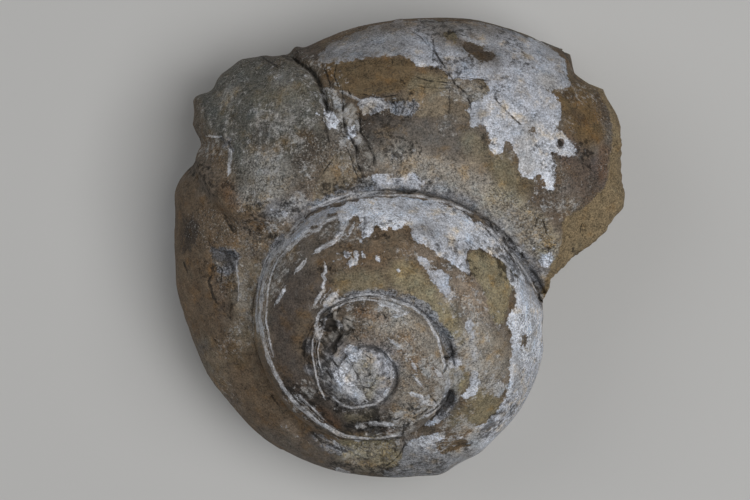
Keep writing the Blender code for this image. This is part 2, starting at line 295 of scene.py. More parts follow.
def thin_lines(*rows: tuple[float, str]) -> tuple[tuple[Outline, float], ...]:
    """Lines from rows of a half width in millimetres and a path."""
    return tuple((path(text), half_width) for half_width, text in rows)


def cracks(*rows: tuple[float, float, str]) -> tuple[tuple[Outline, float, float], ...]:
    """Cracks from rows of a half width and a depth in millimetres, and a path."""
    return tuple((path(text), half_width, depth) for half_width, depth, text in rows)


def touched(
    places: np.ndarray, wobble: np.ndarray, brushed: tuple[Touch, ...], least: float = 0.0
) -> np.ndarray:
    """The greatest amount of several touches at each place.

    Args:
        places: places on the chart.
        wobble: how far their edges are shifted there, in millimetres.
        brushed: the touches.
        least: the amount where there are none.

    Returns:
        The amounts.
    """
    amount = np.full(len(places), least)
    for touch in brushed:
        amount = np.maximum(amount, touch.cover(places, wobble))
    return amount


# --- The form --------------------------------------------------------------------------------


@dataclass
class Spiral:
    """The plain form of the whorls, the base and the break across the last whorl."""

    suture_radius: float = 36.75
    shrink: float = 0.518
    shrink_gain: float = 0.1445
    spire_slope: float = 0.10
    spire_dome: float = 0.0251
    tip_turn: float = 3.2
    tip_fade: float = 0.8
    tip_fade_power: float = 0.8
    rim_growth: float = 0.731
    rim_slowing: float = -0.056
    rim_drop: float = 1.0
    underside_start: float = 0.45
    underside_lip: float = 0.90
    underside_share: float = 0.5
    base_depth: float = 79.0
    worn_from_turn: float = 1.9
    worn_share: float = 0.75
    lean: float = math.radians(24.7)
    lean_towards: float = math.radians(-112.9)
    lip_bearing: float = math.radians(4.8)
    tip: Place = (-8.9, -28.4, 69.0)
    lip_inner_setback: float = 0.070
    lip_inner_width: float = 0.12
    lip_slant: float = 0.016
    lip_outer_setback: float = 0.050
    lip_outer_from: float = 0.72
    lip_blend: float = 0.4
    bulge: float = 11.0
    bulge_at: float = 0.30
    bulge_end: float = 0.78
    bulge_way: Place = (0.83, -0.56, 0.0)
    bulge_top: float = 0.22
    bulge_foot: float = 0.5
    edge_lost: Range = (0.35, 0.95)
    arc_over_chord: float = 1.11
    far_from_suture: float = 60.0
    columns_in_a_turn: int = 640
    upper_rows: int = 100
    lower_rows: int = 40
    row_crowding: float = 1.25
    weld: float = 1e-4

    def suture(self, turn: np.ndarray) -> tuple[np.ndarray, np.ndarray]:
        """The suture, which closes in towards the tip.

        Args:
            turn: how many turns back.

        Returns:
            Its radius and its depth below the tip.
        """
        radius = self.suture_radius * np.exp(-self.shrink * turn - self.shrink_gain * turn**2)
        radius = radius * np.clip((self.tip_turn - turn) / self.tip_fade, 0.0, 1.0) ** self.tip_fade_power
        return radius, self.spire_slope * radius + self.spire_dome * radius**2

    def outer_edge(self, turn: np.ndarray) -> tuple[np.ndarray, np.ndarray]:
        """The outer edge of the upper face.

        Args:
            turn: how many turns back.

        Returns:
            Radius and depth of the rim of the last whorl, then of the next suture.
        """
        lip_radius, lip_depth = self.suture(0.0)
        old_radius, old_depth = self.suture(1.0)
        first_drop = (lip_depth - old_depth) / (lip_radius - old_radius)
        grown = 1.0 - np.clip(turn, 0.0, 1.0)
        radius, depth = self.suture(1.0 - grown)
        rim = lip_radius * np.exp(self.rim_growth * grown + self.rim_slowing * grown**2)
        rim_depth = depth + (first_drop + (self.rim_drop - first_drop) * grown) * (rim - radius)
        next_radius, next_depth = self.suture(np.maximum(turn - 1.0, 0.0))
        last = turn <= 1.0
        return np.where(last, rim, next_radius), np.where(last, rim_depth, next_depth)

    def behind_lip(self, turn: np.ndarray, across: np.ndarray) -> np.ndarray:
        """The turn, moved back so that turn 0 lies on the broken edge.

        Args:
            turn: how many turns back from the end of the suture.
            across: from the suture to the outer edge.

        Returns:
            The turn that it stands for.
        """
        setback = self.lip_inner_setback * (1.0 - np.exp(-across / self.lip_inner_width))
        setback = setback + self.lip_slant * across
        setback = setback + self.lip_outer_setback * ramp(self.lip_outer_from, 1.0, across)
        squeezed = setback + turn * (self.lip_blend - setback) / self.lip_blend
        return np.where(turn < self.lip_blend, squeezed, turn)

    def placed(self, radius: np.ndarray, depth: np.ndarray, turn: np.ndarray) -> np.ndarray:
        """Points of the lying stone, from places in the shell's own axes.

        Args:
            radius: distance from the shell's axis.
            depth: distance below the tip, along the axis.
            turn: how many turns back.

        Returns:
            The points.
        """
        bearing = self.lip_bearing + FULL_TURN * turn
        points = np.stack([radius * np.cos(bearing), radius * np.sin(bearing), -depth], axis=-1)
        lean_axis = Vector((-math.sin(self.lean_towards), math.cos(self.lean_towards), 0.0))
        lean = np.array(Matrix.Rotation(self.lean, 3, lean_axis))
        return points @ lean.T + np.array(self.tip)

    def from_suture(self, turn: np.ndarray, across: np.ndarray) -> np.ndarray:
        """Distance over the upper face from the nearest suture.

        Args:
            turn: how many turns back.
            across: from the suture to the outer edge.

        Returns:
            The distance, negative on the whorl inside that suture.
        """
        radius, depth = self.suture(turn)
        edge_radius, edge_depth = self.outer_edge(turn)
        width = self.arc_over_chord * np.hypot(edge_radius - radius, edge_depth - depth)
        nearer_next = (turn > 1.0) & (across > 0.5)
        return np.where(nearer_next, across - 1.0, across) * width

    def upper_face(self, turn: np.ndarray, across: np.ndarray) -> tuple[np.ndarray, np.ndarray]:
        """A quarter ellipse from the suture, level there, to the outer edge, upright there.

        Args:
            turn: how many turns back from the broken edge.
            across: from the suture to the outer edge.

        Returns:
            The points, and the turn from the suture's end.
        """
        turn = self.behind_lip(turn, across)
        radius, depth = self.suture(turn)
        edge_radius, edge_depth = self.outer_edge(turn)
        angle = across * math.pi / 2
        worn = self.worn_share * ramp(self.worn_from_turn, self.tip_turn, turn)
        outward = np.sin(angle) + worn * (across - np.sin(angle))
        downward = 1.0 - np.cos(angle) + worn * (across - 1.0 + np.cos(angle))
        points = self.placed(
            radius + (edge_radius - radius) * outward,
            depth + (edge_depth - depth) * downward,
            turn,
        )
        return points, turn

    def lower_face(self, turn: np.ndarray, down: np.ndarray) -> np.ndarray:
        """From the rim round the underside, then over the base to its pole.

        Args:
            turn: how many turns back from the broken edge.
            down: from the rim to the pole.

        Returns:
            The points.
        """
        turn = self.behind_lip(turn, np.ones_like(down))
        radius, _ = self.suture(turn)
        rim, rim_depth = self.outer_edge(turn)
        curl = self.underside_lip + (self.underside_start - self.underside_lip) * turn
        curl = curl * (rim - radius)
        angle = np.clip(down / self.underside_share, 0.0, 1.0) * math.pi / 2
        inward = np.clip((down - self.underside_share) / (1.0 - self.underside_share), 0.0, 1.0)
        depth = rim_depth + curl * np.sin(angle)
        return self.placed(
            (rim - curl * (1.0 - np.cos(angle))) * (1.0 - inward),
            depth + (self.base_depth - depth) * ramp(0.0, 1.0, inward),
            turn,
        )

    def lip_face(self, across: np.ndarray, down: np.ndarray) -> np.ndarray:
        """The break across the whorl, from its edge down between the two ends of the lower face.

        Args:
            across: from the suture to the rim.
            down: from the broken edge to the base.

        Returns:
            The points.
        """
        share = across[..., None]
        edge, _ = self.upper_face(np.zeros_like(across), across)
        inner, _ = self.upper_face(np.zeros_like(across), np.zeros_like(across))
        outer, _ = self.upper_face(np.zeros_like(across), np.ones_like(across))
        near_axis = self.lower_face(np.ones_like(down), down)
        far_out = self.lower_face(np.zeros_like(down), down)
        straight = (1 - share) * near_axis + share * far_out
        overhead = edge - ((1 - share) * inner + share * outer)
        kept = 1.0 - ramp(*self.edge_lost, down)
        full = ramp(0.0, self.bulge_at, across) * (1 - ramp(self.bulge_at, self.bulge_end, across))
        high_on_it = ramp(0.0, self.bulge_top, down) * (1 - ramp(self.bulge_foot, 1.0, down))
        out = self.bulge * full * high_on_it
        return straight + kept[..., None] * overhead + out[..., None] * np.array(self.bulge_way)

    def upper_sheet(self, share: np.ndarray, row: np.ndarray) -> tuple[np.ndarray, ...]:
        """The upper face's points, distance from the suture and share of break.

        Args:
            share: how far back along all the whorls.
            row: from the suture to the outer edge.

        Returns:
            The three.
        """
        across = row**self.row_crowding
        points, turn = self.upper_face(share * (self.tip_turn + 1.0), across)
        return points, self.from_suture(turn, across), np.zeros_like(row)

    def lower_sheet(self, share: np.ndarray, row: np.ndarray) -> tuple[np.ndarray, ...]:
        """The same for the lower face."""
        return self.lower_face(share, row), np.full_like(row, self.far_from_suture), np.zeros_like(row)

    def break_sheet(self, column: np.ndarray, row: np.ndarray) -> tuple[np.ndarray, ...]:
        """The same for the break across the whorl."""
        points = self.lip_face(column**self.row_crowding, row)
        return points, np.full_like(row, self.far_from_suture), np.ones_like(row)

    def skin(self) -> Mesh:
        """The three sheets, welded to one closed skin.

        Returns:
            A mesh with the layers "suture", "broken" and "rough" on its vertices, the last still empty.
        """
        bm = bmesh.new()
        layers = [bm.verts.layers.float.new(name) for name in Surface.kept]
        columns = round((self.tip_turn + 1.0) * self.columns_in_a_turn)
        for across, along, surface in (
            (columns, self.upper_rows, self.upper_sheet),
            (self.columns_in_a_turn, self.lower_rows, self.lower_sheet),
            (self.upper_rows, self.lower_rows, self.break_sheet),
        ):
            verts = bmesh.ops.create_grid(bm, x_segments=across, y_segments=along, size=0.5)["verts"]
            first = np.array([round((vert.co.x + 0.5) * across) / across for vert in verts])
            second = np.array([round((vert.co.y + 0.5) * along) / along for vert in verts])
            for vert, point, *values in zip(verts, *surface(first, second)):
                vert.co = point
                for layer, value in zip(layers, values):
                    vert[layer] = value
        bmesh.ops.remove_doubles(bm, verts=bm.verts, dist=self.weld)
        bmesh.ops.dissolve_degenerate(bm, dist=self.weld, edges=bm.edges)
        bmesh.ops.recalc_face_normals(bm, faces=bm.faces)
        bm.normal_update()
        return bm


# --- Marks on the chart ----------------------------------------------------------------------

OUTLINE_SHIFTS = (  # centre in plan, how far the skin is moved there in plan, and its reach
    ((39.5, -4), (2.3, -2.5), 5.2), ((45, 1), (0.5, -0.5), 2.5), ((34.5, -9), (0.9, -0.7), 3),
    ((51, 12), (2.3, -0.3), 4.2), ((52, 20.5), (0.9, 0.1), 4.5), ((52.6, 26.5), (-0.7, -0.2), 2.4),
    ((44.5, 42.5), (-1.3, -1.2), 4), ((48, 37), (0.7, 0.6), 2), ((40.5, 44.8), (0.7, 1.4), 2),
    ((36, 49.5), (-0.2, -0.5), 3.5), ((-49, 14), (-2.8, 0.4), 6.2), ((-52, 3), (-0.5, 0), 6),
    ((-52.5, -9), (-0.6, 0), 5.5), ((-47.6, 35.8), (-1.4, 0.5), 2.4), ((-44.9, 38.9), (1, -1.1), 2.6),
    ((-47.8, 24.5), (1.6, 0.2), 3.8), ((-36.7, 44), (-0.4, 0.9), 2.8), ((-30, 47.5), (0, -0.8), 2.4),
    ((-24.7, 46.2), (0.3, 1.8), 2.2), ((-49.5, -20.5), (0.8, 0.2), 8), ((-40, -38.5), (0.4, 0.3), 9),
    ((-8, -54.5), (0, 0.65), 9), ((35, -19.5), (-0.8, 0.3), 3.5), ((10.5, -52.8), (0.1, -0.9), 4),
    ((19.5, -48.5), (0.4, -0.5), 4),
)
LUMP = path(
    "191,158 192,120 192,100 203,88 225,73 247,58 270,52 287,56 300,62 311,69 317,78 321,92 323,108 322,130 "
    "318,158 302,172 291,200 262,224 240,229 222,215 205,187"
)
LUMP_SHOULDER = path("223,98")
NOTCH = path("199,148")
PIT = path(
    "212,248 222,251 233,250 238,258 236,266 233,275 238,288 238,303 232,307 229,317 221,306 214,299 209,282 "
    "213,270 214,260"
)
BASE_PATCH = path("339,449 347,442 364,440 384,439 398,446 396,457 384,467 364,470 352,466 342,456")
LEDGE = path("446,358 463,357 466,364 452,374 459,384 448,394 444,376")
SHELL = paths(
    # the large remnant on the last whorl
    "321,64 319,54 330,43 350,34 372,26 395,20 430,19 470,22 505,28 530,38 550,48 561,55 567,66 567,78 571,85 "
    "564,88 556,90 547,90 557,97 561,106 562,115 559,123 552,133 548,140 549,146 553,159 555,174 554,189 "
    "546,189 543,179 539,174 532,178 526,177 518,172 518,161 516,153 511,143 506,141 504,146 503,152 496,154 "
    "492,151 490,146 489,133 483,124 478,127 472,128 470,119 466,110 470,104 479,100 488,97 490,90 486,82 "
    "478,78 466,79 456,78 449,78 445,70 436,66 425,67 416,66 411,58 400,57 385,57 371,58 351,61 333,61",
    "546,147 547,137 551,130 558,129 563,134 568,140 572,144 576,149 577,153 574,158 570,158 564,157 556,154 "
    "549,152",
    "540,262 544,255 550,252 553,256 552,263 548,269 542,268",
    # the band along the next whorl in, under the suture
    "291,235 300,224 315,214 330,208 350,201 375,198 400,197 420,199 440,203 455,208 470,216 483,226 495,238 "
    "508,254 519,268 526,281 517,277 509,271 503,260 494,257 480,249 468,251 465,260 473,278 463,271 453,263 "
    "438,257 428,248 417,242 411,236 411,226 405,224 398,232 391,226 383,231 377,226 370,236 363,236 359,228 "
    "364,222 356,214 347,219 338,236 331,241 340,225 336,215 328,214 322,222 311,228 298,239 293,242 288,242",
    "419,259 426,257 430,269 440,270 448,275 449,285 458,296 450,299 440,290 433,281 427,270 421,264",
    # down the right edge and round the bottom
    "509,271 518,277 528,284 536,293 542,302 548,318 550,336 550,360 548,385 536,402 520,424 500,446 480,460 "
    "455,474 430,482 400,484 380,482 386,470 397,464 403,455 405,444 416,438 435,433 450,440 463,437 474,430 "
    "486,422 496,412 505,399 510,379 508,366 512,349 511,335 506,323 511,313 517,303 515,291 510,281",
    "466,322 471,320 475,338 479,357 474,361 470,350 467,338",
    "470,372 476,367 480,383 478,394 466,400 461,396 469,386", "493,384 502,380 507,388 500,397 493,395",
    "331,373 337,368 345,365 352,368 349,378 358,385 364,396 360,403 350,400 340,390 335,382",
    "345,350 350,345 362,350 362,358 352,361", "447,360 455,357 463,359 463,366 455,369 448,367",
    "444,408 449,410 440,421 428,427 424,424 434,418", "358,104 364,98 378,97 386,101 385,110 372,114 361,116",
    "388,104 397,102 412,106 414,112 402,115 389,112", "347,127 354,127 356,136 351,140 346,134",
    "325,110 333,112 338,120 336,128 328,130 324,120",
    "372,178 380,172 396,176 413,175 428,184 420,190 400,188 380,189",
    "321,307 323,302 328,297 333,293 338,295 337,300 331,304 325,308",
    "346,264 351,261 358,260 357,263 351,266", "284,237 290,237 293,242 289,247 283,248",
)
SHELL_LINES = paths(
    "316,251 326,245 337,238 343,229", "324,269 325,278 322,288 317,300", "297,268 302,263", "277,301 283,290",
    "541,176 543,188", "384,395 392,384 394,370 388,356",
)
SHELL_DOTS = paths(
    "337,254", "345,253 348,256", "356,252 356,256", "362,252 364,256", "334,261", "347,244", "361,242",
    "377,258 379,260", "395,275", "317,113", "305,77", "275,78", "284,214", "271,210", "398,270", "321,222",
    "523,245", "534,249", "528,266", "503,229", "499,234",
)
BARE_SPOTS = paths(  # stone that shows through the shell
    "473,81 482,81 490,88 491,93 483,94 476,90", "526,126 534,126 537,132 529,134",
    "388,444 396,441 399,448 391,452", "436,443 450,438 464,440 468,445 455,451 440,453",
    "523,334 527,333 528,342 525,350 522,348", "557,140 561,139 564,143 562,147 557,146",
    "464,44 470,40 476,43 484,47 492,54 498,60 490,63 480,60 470,56 464,51",
    "444,33 452,33 459,38 455,42 447,39",
)
OCHRE_PATCH = paths(
    "324,66 333,61 351,61 371,58 400,57 411,59 416,66 412,78 404,88 397,93 390,92 371,95 361,97 344,92 333,83 "
    "325,76",
)
DARK_PATCHES = paths("183,255 182,240 187,228 193,218 197,222 198,236 192,248")
SMOOTH_TAN = paths(
    "330,158 342,151 350,153 356,162 363,173 361,182 347,190 330,200 316,208 311,204 314,188 322,171",
    "408,95 422,94 447,96 449,113 436,117 418,116 410,108",
)
OLIVE_PATCH = paths(
    "468,252 479,249 494,258 503,260 509,271 509,278 511,288 508,303 504,323 497,326 490,313 488,298 480,286 "
    "473,277 468,266",
)
CRACKS = cracks(  # half width and depth in millimetres, and the line
    (0.5, 0.9, "341,328 342,334 337,340 333,345 334,352"), (0.4, 0.6, "347,325 352,330 346,334"),
    (0.36, 0.6, "325,351 331,354 335,350"), (0.42, 0.6, "320,321 323,328 329,331"),
    (0.24, 0.5, "337,314 339,307 348,303"), (0.32, 0.4, "345,297 354,296"), (0.34, 0.5, "329,320 338,322"),
    (0.28, 0.4, "327,371 332,378"), (0.3, 0.4, "330,357 337,366"), (0.4, 0.8, "445,357 450,356"),
    (0.24, 0.4, "430,395 436,402"), (0.3, 0.5, "403,444 406,445"), (0.34, 0.5, "403,427 409,423"),
    (0.24, 0.3, "378,394 384,398"), (0.2, 0.3, "362,386 370,388"), (0.2, 0.3, "366,355 371,359"),
    (0.3, 0.4, "384,381 389,378"), (0.2, 0.5, "405,424 402,438 404,446 400,454 393,461 384,467"),
    (0.26, 0.6, "338,438 360,440 380,440 396,438"), (0.3, 0.3, "361,309 363,310"),
    (0.26, 0.3, "384,315 386,318"), (0.24, 0.3, "353,335 357,339"), (0.26, 0.4, "409,410 415,414"),
    (0.3, 0.4, "436,408 441,403 447,396"), (0.24, 0.3, "426,414 434,410"),
    (0.55, 1.9, "283,56 295,60 304,65 311,70 317,78 321,88 323,98 327,109"), (0.2, 0.3, "413,32 420,36 427,45"),
    (0.42, 1, "323,96 325,103 327,110"), (0.2, 0.3, "417,77 428,80 450,83"),
    (0.18, 0.25, "418,86 434,88 450,88"), (0.28, 0.5, "466,93 469,100 471,108"),
    (0.3, 0.5, "392,101 396,106 395,112"), (0.24, 0.4, "402,96 405,104 402,112"),
    (0.24, 0.4, "412,99 414,106 411,113"), (0.2, 0.35, "361,94 378,98 396,95"),
    (0.22, 0.4, "336,66 334,76 338,86"), (0.3, 0.5, "323,66 327,74 330,84"),
    (0.24, 0.45, "348,150 352,162 357,176 362,183"), (0.24, 0.5, "331,98 333,108 330,118"),
    (0.28, 0.4, "262,57 270,62 277,66"), (0.18, 0.3, "332,160 325,170 318,180"), (0.3, 0.5, "322,340 326,350"),
    (0.3, 0.6, "408,404 414,410 420,408"), (0.3, 0.6, "413,418 421,414 428,408"),
    (0.25, 0.4, "446,357 447,366 444,372"), (0.25, 0.4, "320,418 333,428 350,434"),
    (0.28, 0.5, "386,418 396,420 404,415"), (0.14, 0.25, "430,38 433,50 433,60"),
    (0.32, 0.7, "433,40 434,50 440,60 447,70 451,78 455,84 462,90 469,96"), (0.14, 0.25, "455,77 485,80"),
    (0.26, 0.45, "495,99 503,107 510,115 520,124"), (0.28, 0.5, "504,104 505,106"),
    (0.2, 0.4, "449,92 449,113"), (0.14, 0.25, "430,82 447,82"),
    (0.34, 0.9, "342,92 343,100 343,118 345,130 350,137 354,144 357,150"),
    (0.26, 0.7, "356,146 356,160 360,169 363,178"),
    (0.3, 0.8, "360,112 360,133 365,138 370,148 374,156 374,163"), (0.3, 0.7, "325,120 326,132 329,141"),
    (0.45, 1, "225,217 229,224 234,231"), (0.3, 0.5, "221,307 226,312 230,318"),
    (0.25, 0.5, "215,262 222,270 221,280"), (0.4, 0.9, "212,248 214,260 213,270 209,282 214,299 221,307"),
    (0.2, 0.4, "209,240 211,250"), (0.28, 0.4, "184,262 187,272"), (0.35, 0.5, "272,396 278,404"),
    (0.5, 0.9, "312,433 320,440 336,447 345,451"), (0.5, 1, "369,431 377,432 384,431"),
    (0.45, 0.8, "395,438 401,436"), (0.4, 0.8, "404,425 408,425"), (0.4, 0.7, "404,192 410,193 415,191"),
    (0.35, 0.5, "419,179 421,181"), (0.4, 0.8, "534,284 538,290 540,297"), (0.4, 0.6, "448,357 446,362"),
    (0.45, 0.7, "573,249 575,255"), (0.3, 0.5, "581,226 581,228"), (0.7, 0.8, "559,142 561,144"),
    (0.42, 0.5, "326,336 330,341"), (0.45, 0.5, "333,329 338,333"), (0.34, 0.5, "321,342 325,346 324,350"),
    (0.42, 0.5, "338,346 343,341"), (0.36, 0.4, "328,349 332,354"), (0.34, 0.4, "343,318 349,320"),
    (0.36, 0.4, "326,317 331,314"), (0.5, 0.6, "330,325 334,326"), (0.28, 0.4, "322,357 327,362"),
    (0.24, 0.3, "355,371 358,376"), (0.24, 0.3, "366,376 371,374"), (0.22, 0.3, "372,386 376,380"),
    (0.36, 0.6, "480,217 486,221 492,226 497,230"), (0.42, 0.6, "504,237 506,244"),
    (0.42, 0.6, "509,239 511,244 514,249"), (0.36, 0.5, "507,245 511,248"), (0.3, 0.4, "522,253 522,257"),
    (0.4, 0.4, "510,255 513,260"), (0.36, 0.4, "498,247 502,252"), (0.34, 0.4, "528,238 532,242"),
    (0.26, 0.4, "534,214 537,220 536,226"), (0.24, 0.3, "544,222 546,232"), (0.45, 0.9, "228,142 231,148"),
    (0.3, 0.4, "215,340 216,341"), (0.45, 0.5, "245,229 248,230"), (0.3, 0.5, "349,92 350,94"),
    (0.2, 0.2, "392,62 392,63"),
)
HOLLOWS = paths(  # hollows in the broken ground, darkened with painted shade
    "323,321 331,317 339,323 336,330 327,331", "330,337 337,331 343,336 339,343 335,352 329,351",
    "447,391 453,391 455,400 449,409 442,414 441,404", "212,249 232,251 236,258 232,268 222,266 214,262",
    "375,429 384,428 386,434 374,434",
)
ROUGH_GROUND = touches(
    (30, 0.36, "350,365 365,372"), (12, 0.55, "335,320 330,340 345,325"),
    (12, 0.5, "345,100 350,125 358,150 366,170"), (13, 0.55, "410,412 430,405 395,428 360,432"),
    (46, 0.17, "250,110 270,150 240,170 225,120"), (16, 0.28, "300,195 265,215"),
    (22, 0.26, "520,215 545,250 532,255"), (16, 0.45, "355,455 385,455"), (20, 0.07, "440,178 480,190"),
    (11, 0.3, "222,258 224,290"), (14, 0.35, "395,418 420,395"), (9, 0.2, "400,108 380,106"),
    (7, 0.25, "500,228 538,280"), (5, 0.25, "450,340 458,358"),
)
DEEP_SUTURE = touches(
    (9, 0.1, "500,236 515,255 532,280"), (8, 0.35, "395,293 425,314 445,345 452,372"),
    (8, 0.6, "452,390 444,408 425,426"), (5, 0.15, "536,284 540,296"),
)
FAINT_SUTURE = touches(
    (14, 0.9, "283,240 266,270 259,310 265,355 283,393 305,412 335,434"), (30, 0.97, "352,380 358,384"),
    (12, 0.8, "318,330 312,360 320,390"), (12, 0.7, "310,212 345,200 395,194 440,198 480,216"),
    (10, 0.55, "480,216 505,240 525,265"), (10, 0.6, "335,306 360,296 395,300 425,318 440,345"),
    (8, 0.9, "456,372 454,386"),
)
PALE_LINES = thin_lines(  # pale layered shell edges, most of them along the sutures: half width and the line
    (0.46, "283,245 272,258 268,268 264,280 262,291 261,304 260,316 261,328 264,340 268,357 274,371 282,386 "
     "292,400 305,411 320,424 337,433 358,440"),
    (0.2, "290,247 279,258 273,270 269,284 267,300 266,318 269,338 273,354"),
    (0.14, "280,243 268,256 263,268 259,282 257,300 256,316 258,332"),
    (0.34, "318,338 316,326 319,314 326,307 340,300 356,296 370,294 384,297 397,301 412,307 424,316 432,328 "
     "438,338 440,348 443,357 447,372"),
    (0.22, "322,334 325,320 334,309 348,302 364,299 384,302 400,307"),
    (0.5, "447,372 448,385 444,400 437,408 426,415"),
    (0.2, "317,329 313,340 312,352 314,364 316,375 319,386 324,397"), (0.13, "320,338 318,350 319,361 322,372"),
    (0.26, "333,397 341,404 352,408 361,407 376,404 386,395 391,383 391,371"),
    (0.3, "332,428 341,434 357,438 376,439 388,437 401,434"),
    (0.26, "322,206 345,199 370,196 395,195 420,196 445,202 470,212"), (0.2, "310,209 330,200 352,194 380,191"),
    (0.2, "488,228 502,243 515,258 527,274 536,291"), (0.25, "300,396 310,406 322,418"),
    (0.7, "317,336 321,330"), (0.7, "334,295 327,302"), (0.55, "338,323 341,327"), (0.4, "392,341 399,346"),
    (0.6, "350,350 358,354"), (0.95, "346,367 352,378"), (1.2, "347,388 361,397"),
    (0.6, "381,304 392,306 402,313"), (0.5, "395,316 406,313"), (0.35, "413,364 415,368"),
    (0.5, "437,371 441,376"), (0.7, "423,402 436,404"), (0.4, "416,379 421,385"), (0.45, "370,423 392,425"),
    (0.5, "326,425 337,431"), (0.4, "334,442 338,446"), (0.45, "412,394 422,397"),
    (0.3, "553,148 566,152 574,154"), (0.3, "343,92 352,97 361,101 372,98"), (0.4, "230,148 230,158 229,172"),
    (0.3, "210,136 218,137"), (0.36, "325,266 326,272 323,275 326,280 322,286 325,290 321,294 318,298 316,302"),
    (0.34, "282,246 288,236 293,229 299,222 303,219"),
    (0.46, "283,249 289,249 293,245 297,241 300,238 304,234 308,230 313,231 319,229 321,224 326,220 333,218 "
     "340,216 346,218"),
    (0.5, "317,251 325,246 331,243 337,239 341,233 343,228 347,223"), (0.4, "341,226 341,235"),
    (0.35, "353,226 350,233"), (0.4, "297,270 304,262"), (0.4, "277,302 284,290"), (0.5, "514,247 520,250"),
    (0.45, "508,270 509,277"), (0.25, "499,258 505,262 509,267"), (0.28, "490,229 497,237 506,248"),
    (0.35, "512,254 518,262"), (0.7, "364,103 376,101 386,105"), (0.16, "236,260 237,272 239,284 238,300"),
    (0.6, "338,470 348,474"), (0.3, "232,257 235,266"),
)
SLATE_PATCHES = paths(
    "398,292 412,295 426,302 434,311 443,322 452,337 460,352 459,359 447,358 444,349 440,338 434,327 425,316 "
    "413,307 399,301",
    "326,307 334,299 346,293 360,290 376,289 394,291 397,298 378,296 362,296 347,299 336,304 328,311",
    "211,248 236,249 241,257 238,270 229,276 217,272 213,260", "506,240 514,244 522,256 518,258 509,249",
    "526,262 535,271 541,285 542,296 536,291 529,276",
    "306,204 325,196 350,190 372,188 385,192 360,197 335,203 313,212",
    "283,233 277,238 270,248 262,264 258,280 256,300 257,318 260,318 261,300 263,280 268,264 276,250 286,240",
    "388,101 400,103 416,100 420,108 410,116 394,113", "222,136 230,140 233,150 229,152 223,146",
    "444,392 454,391 458,400 452,412 440,420 436,414 442,404",
    "312,436 322,434 338,443 352,450 340,456 322,447",
)
SLATE_SUTURE = touches(
    (9, 0.5, "484,216 505,236 523,258 538,284"), (7, 0.55, "330,206 380,190 430,190 470,205"),
)

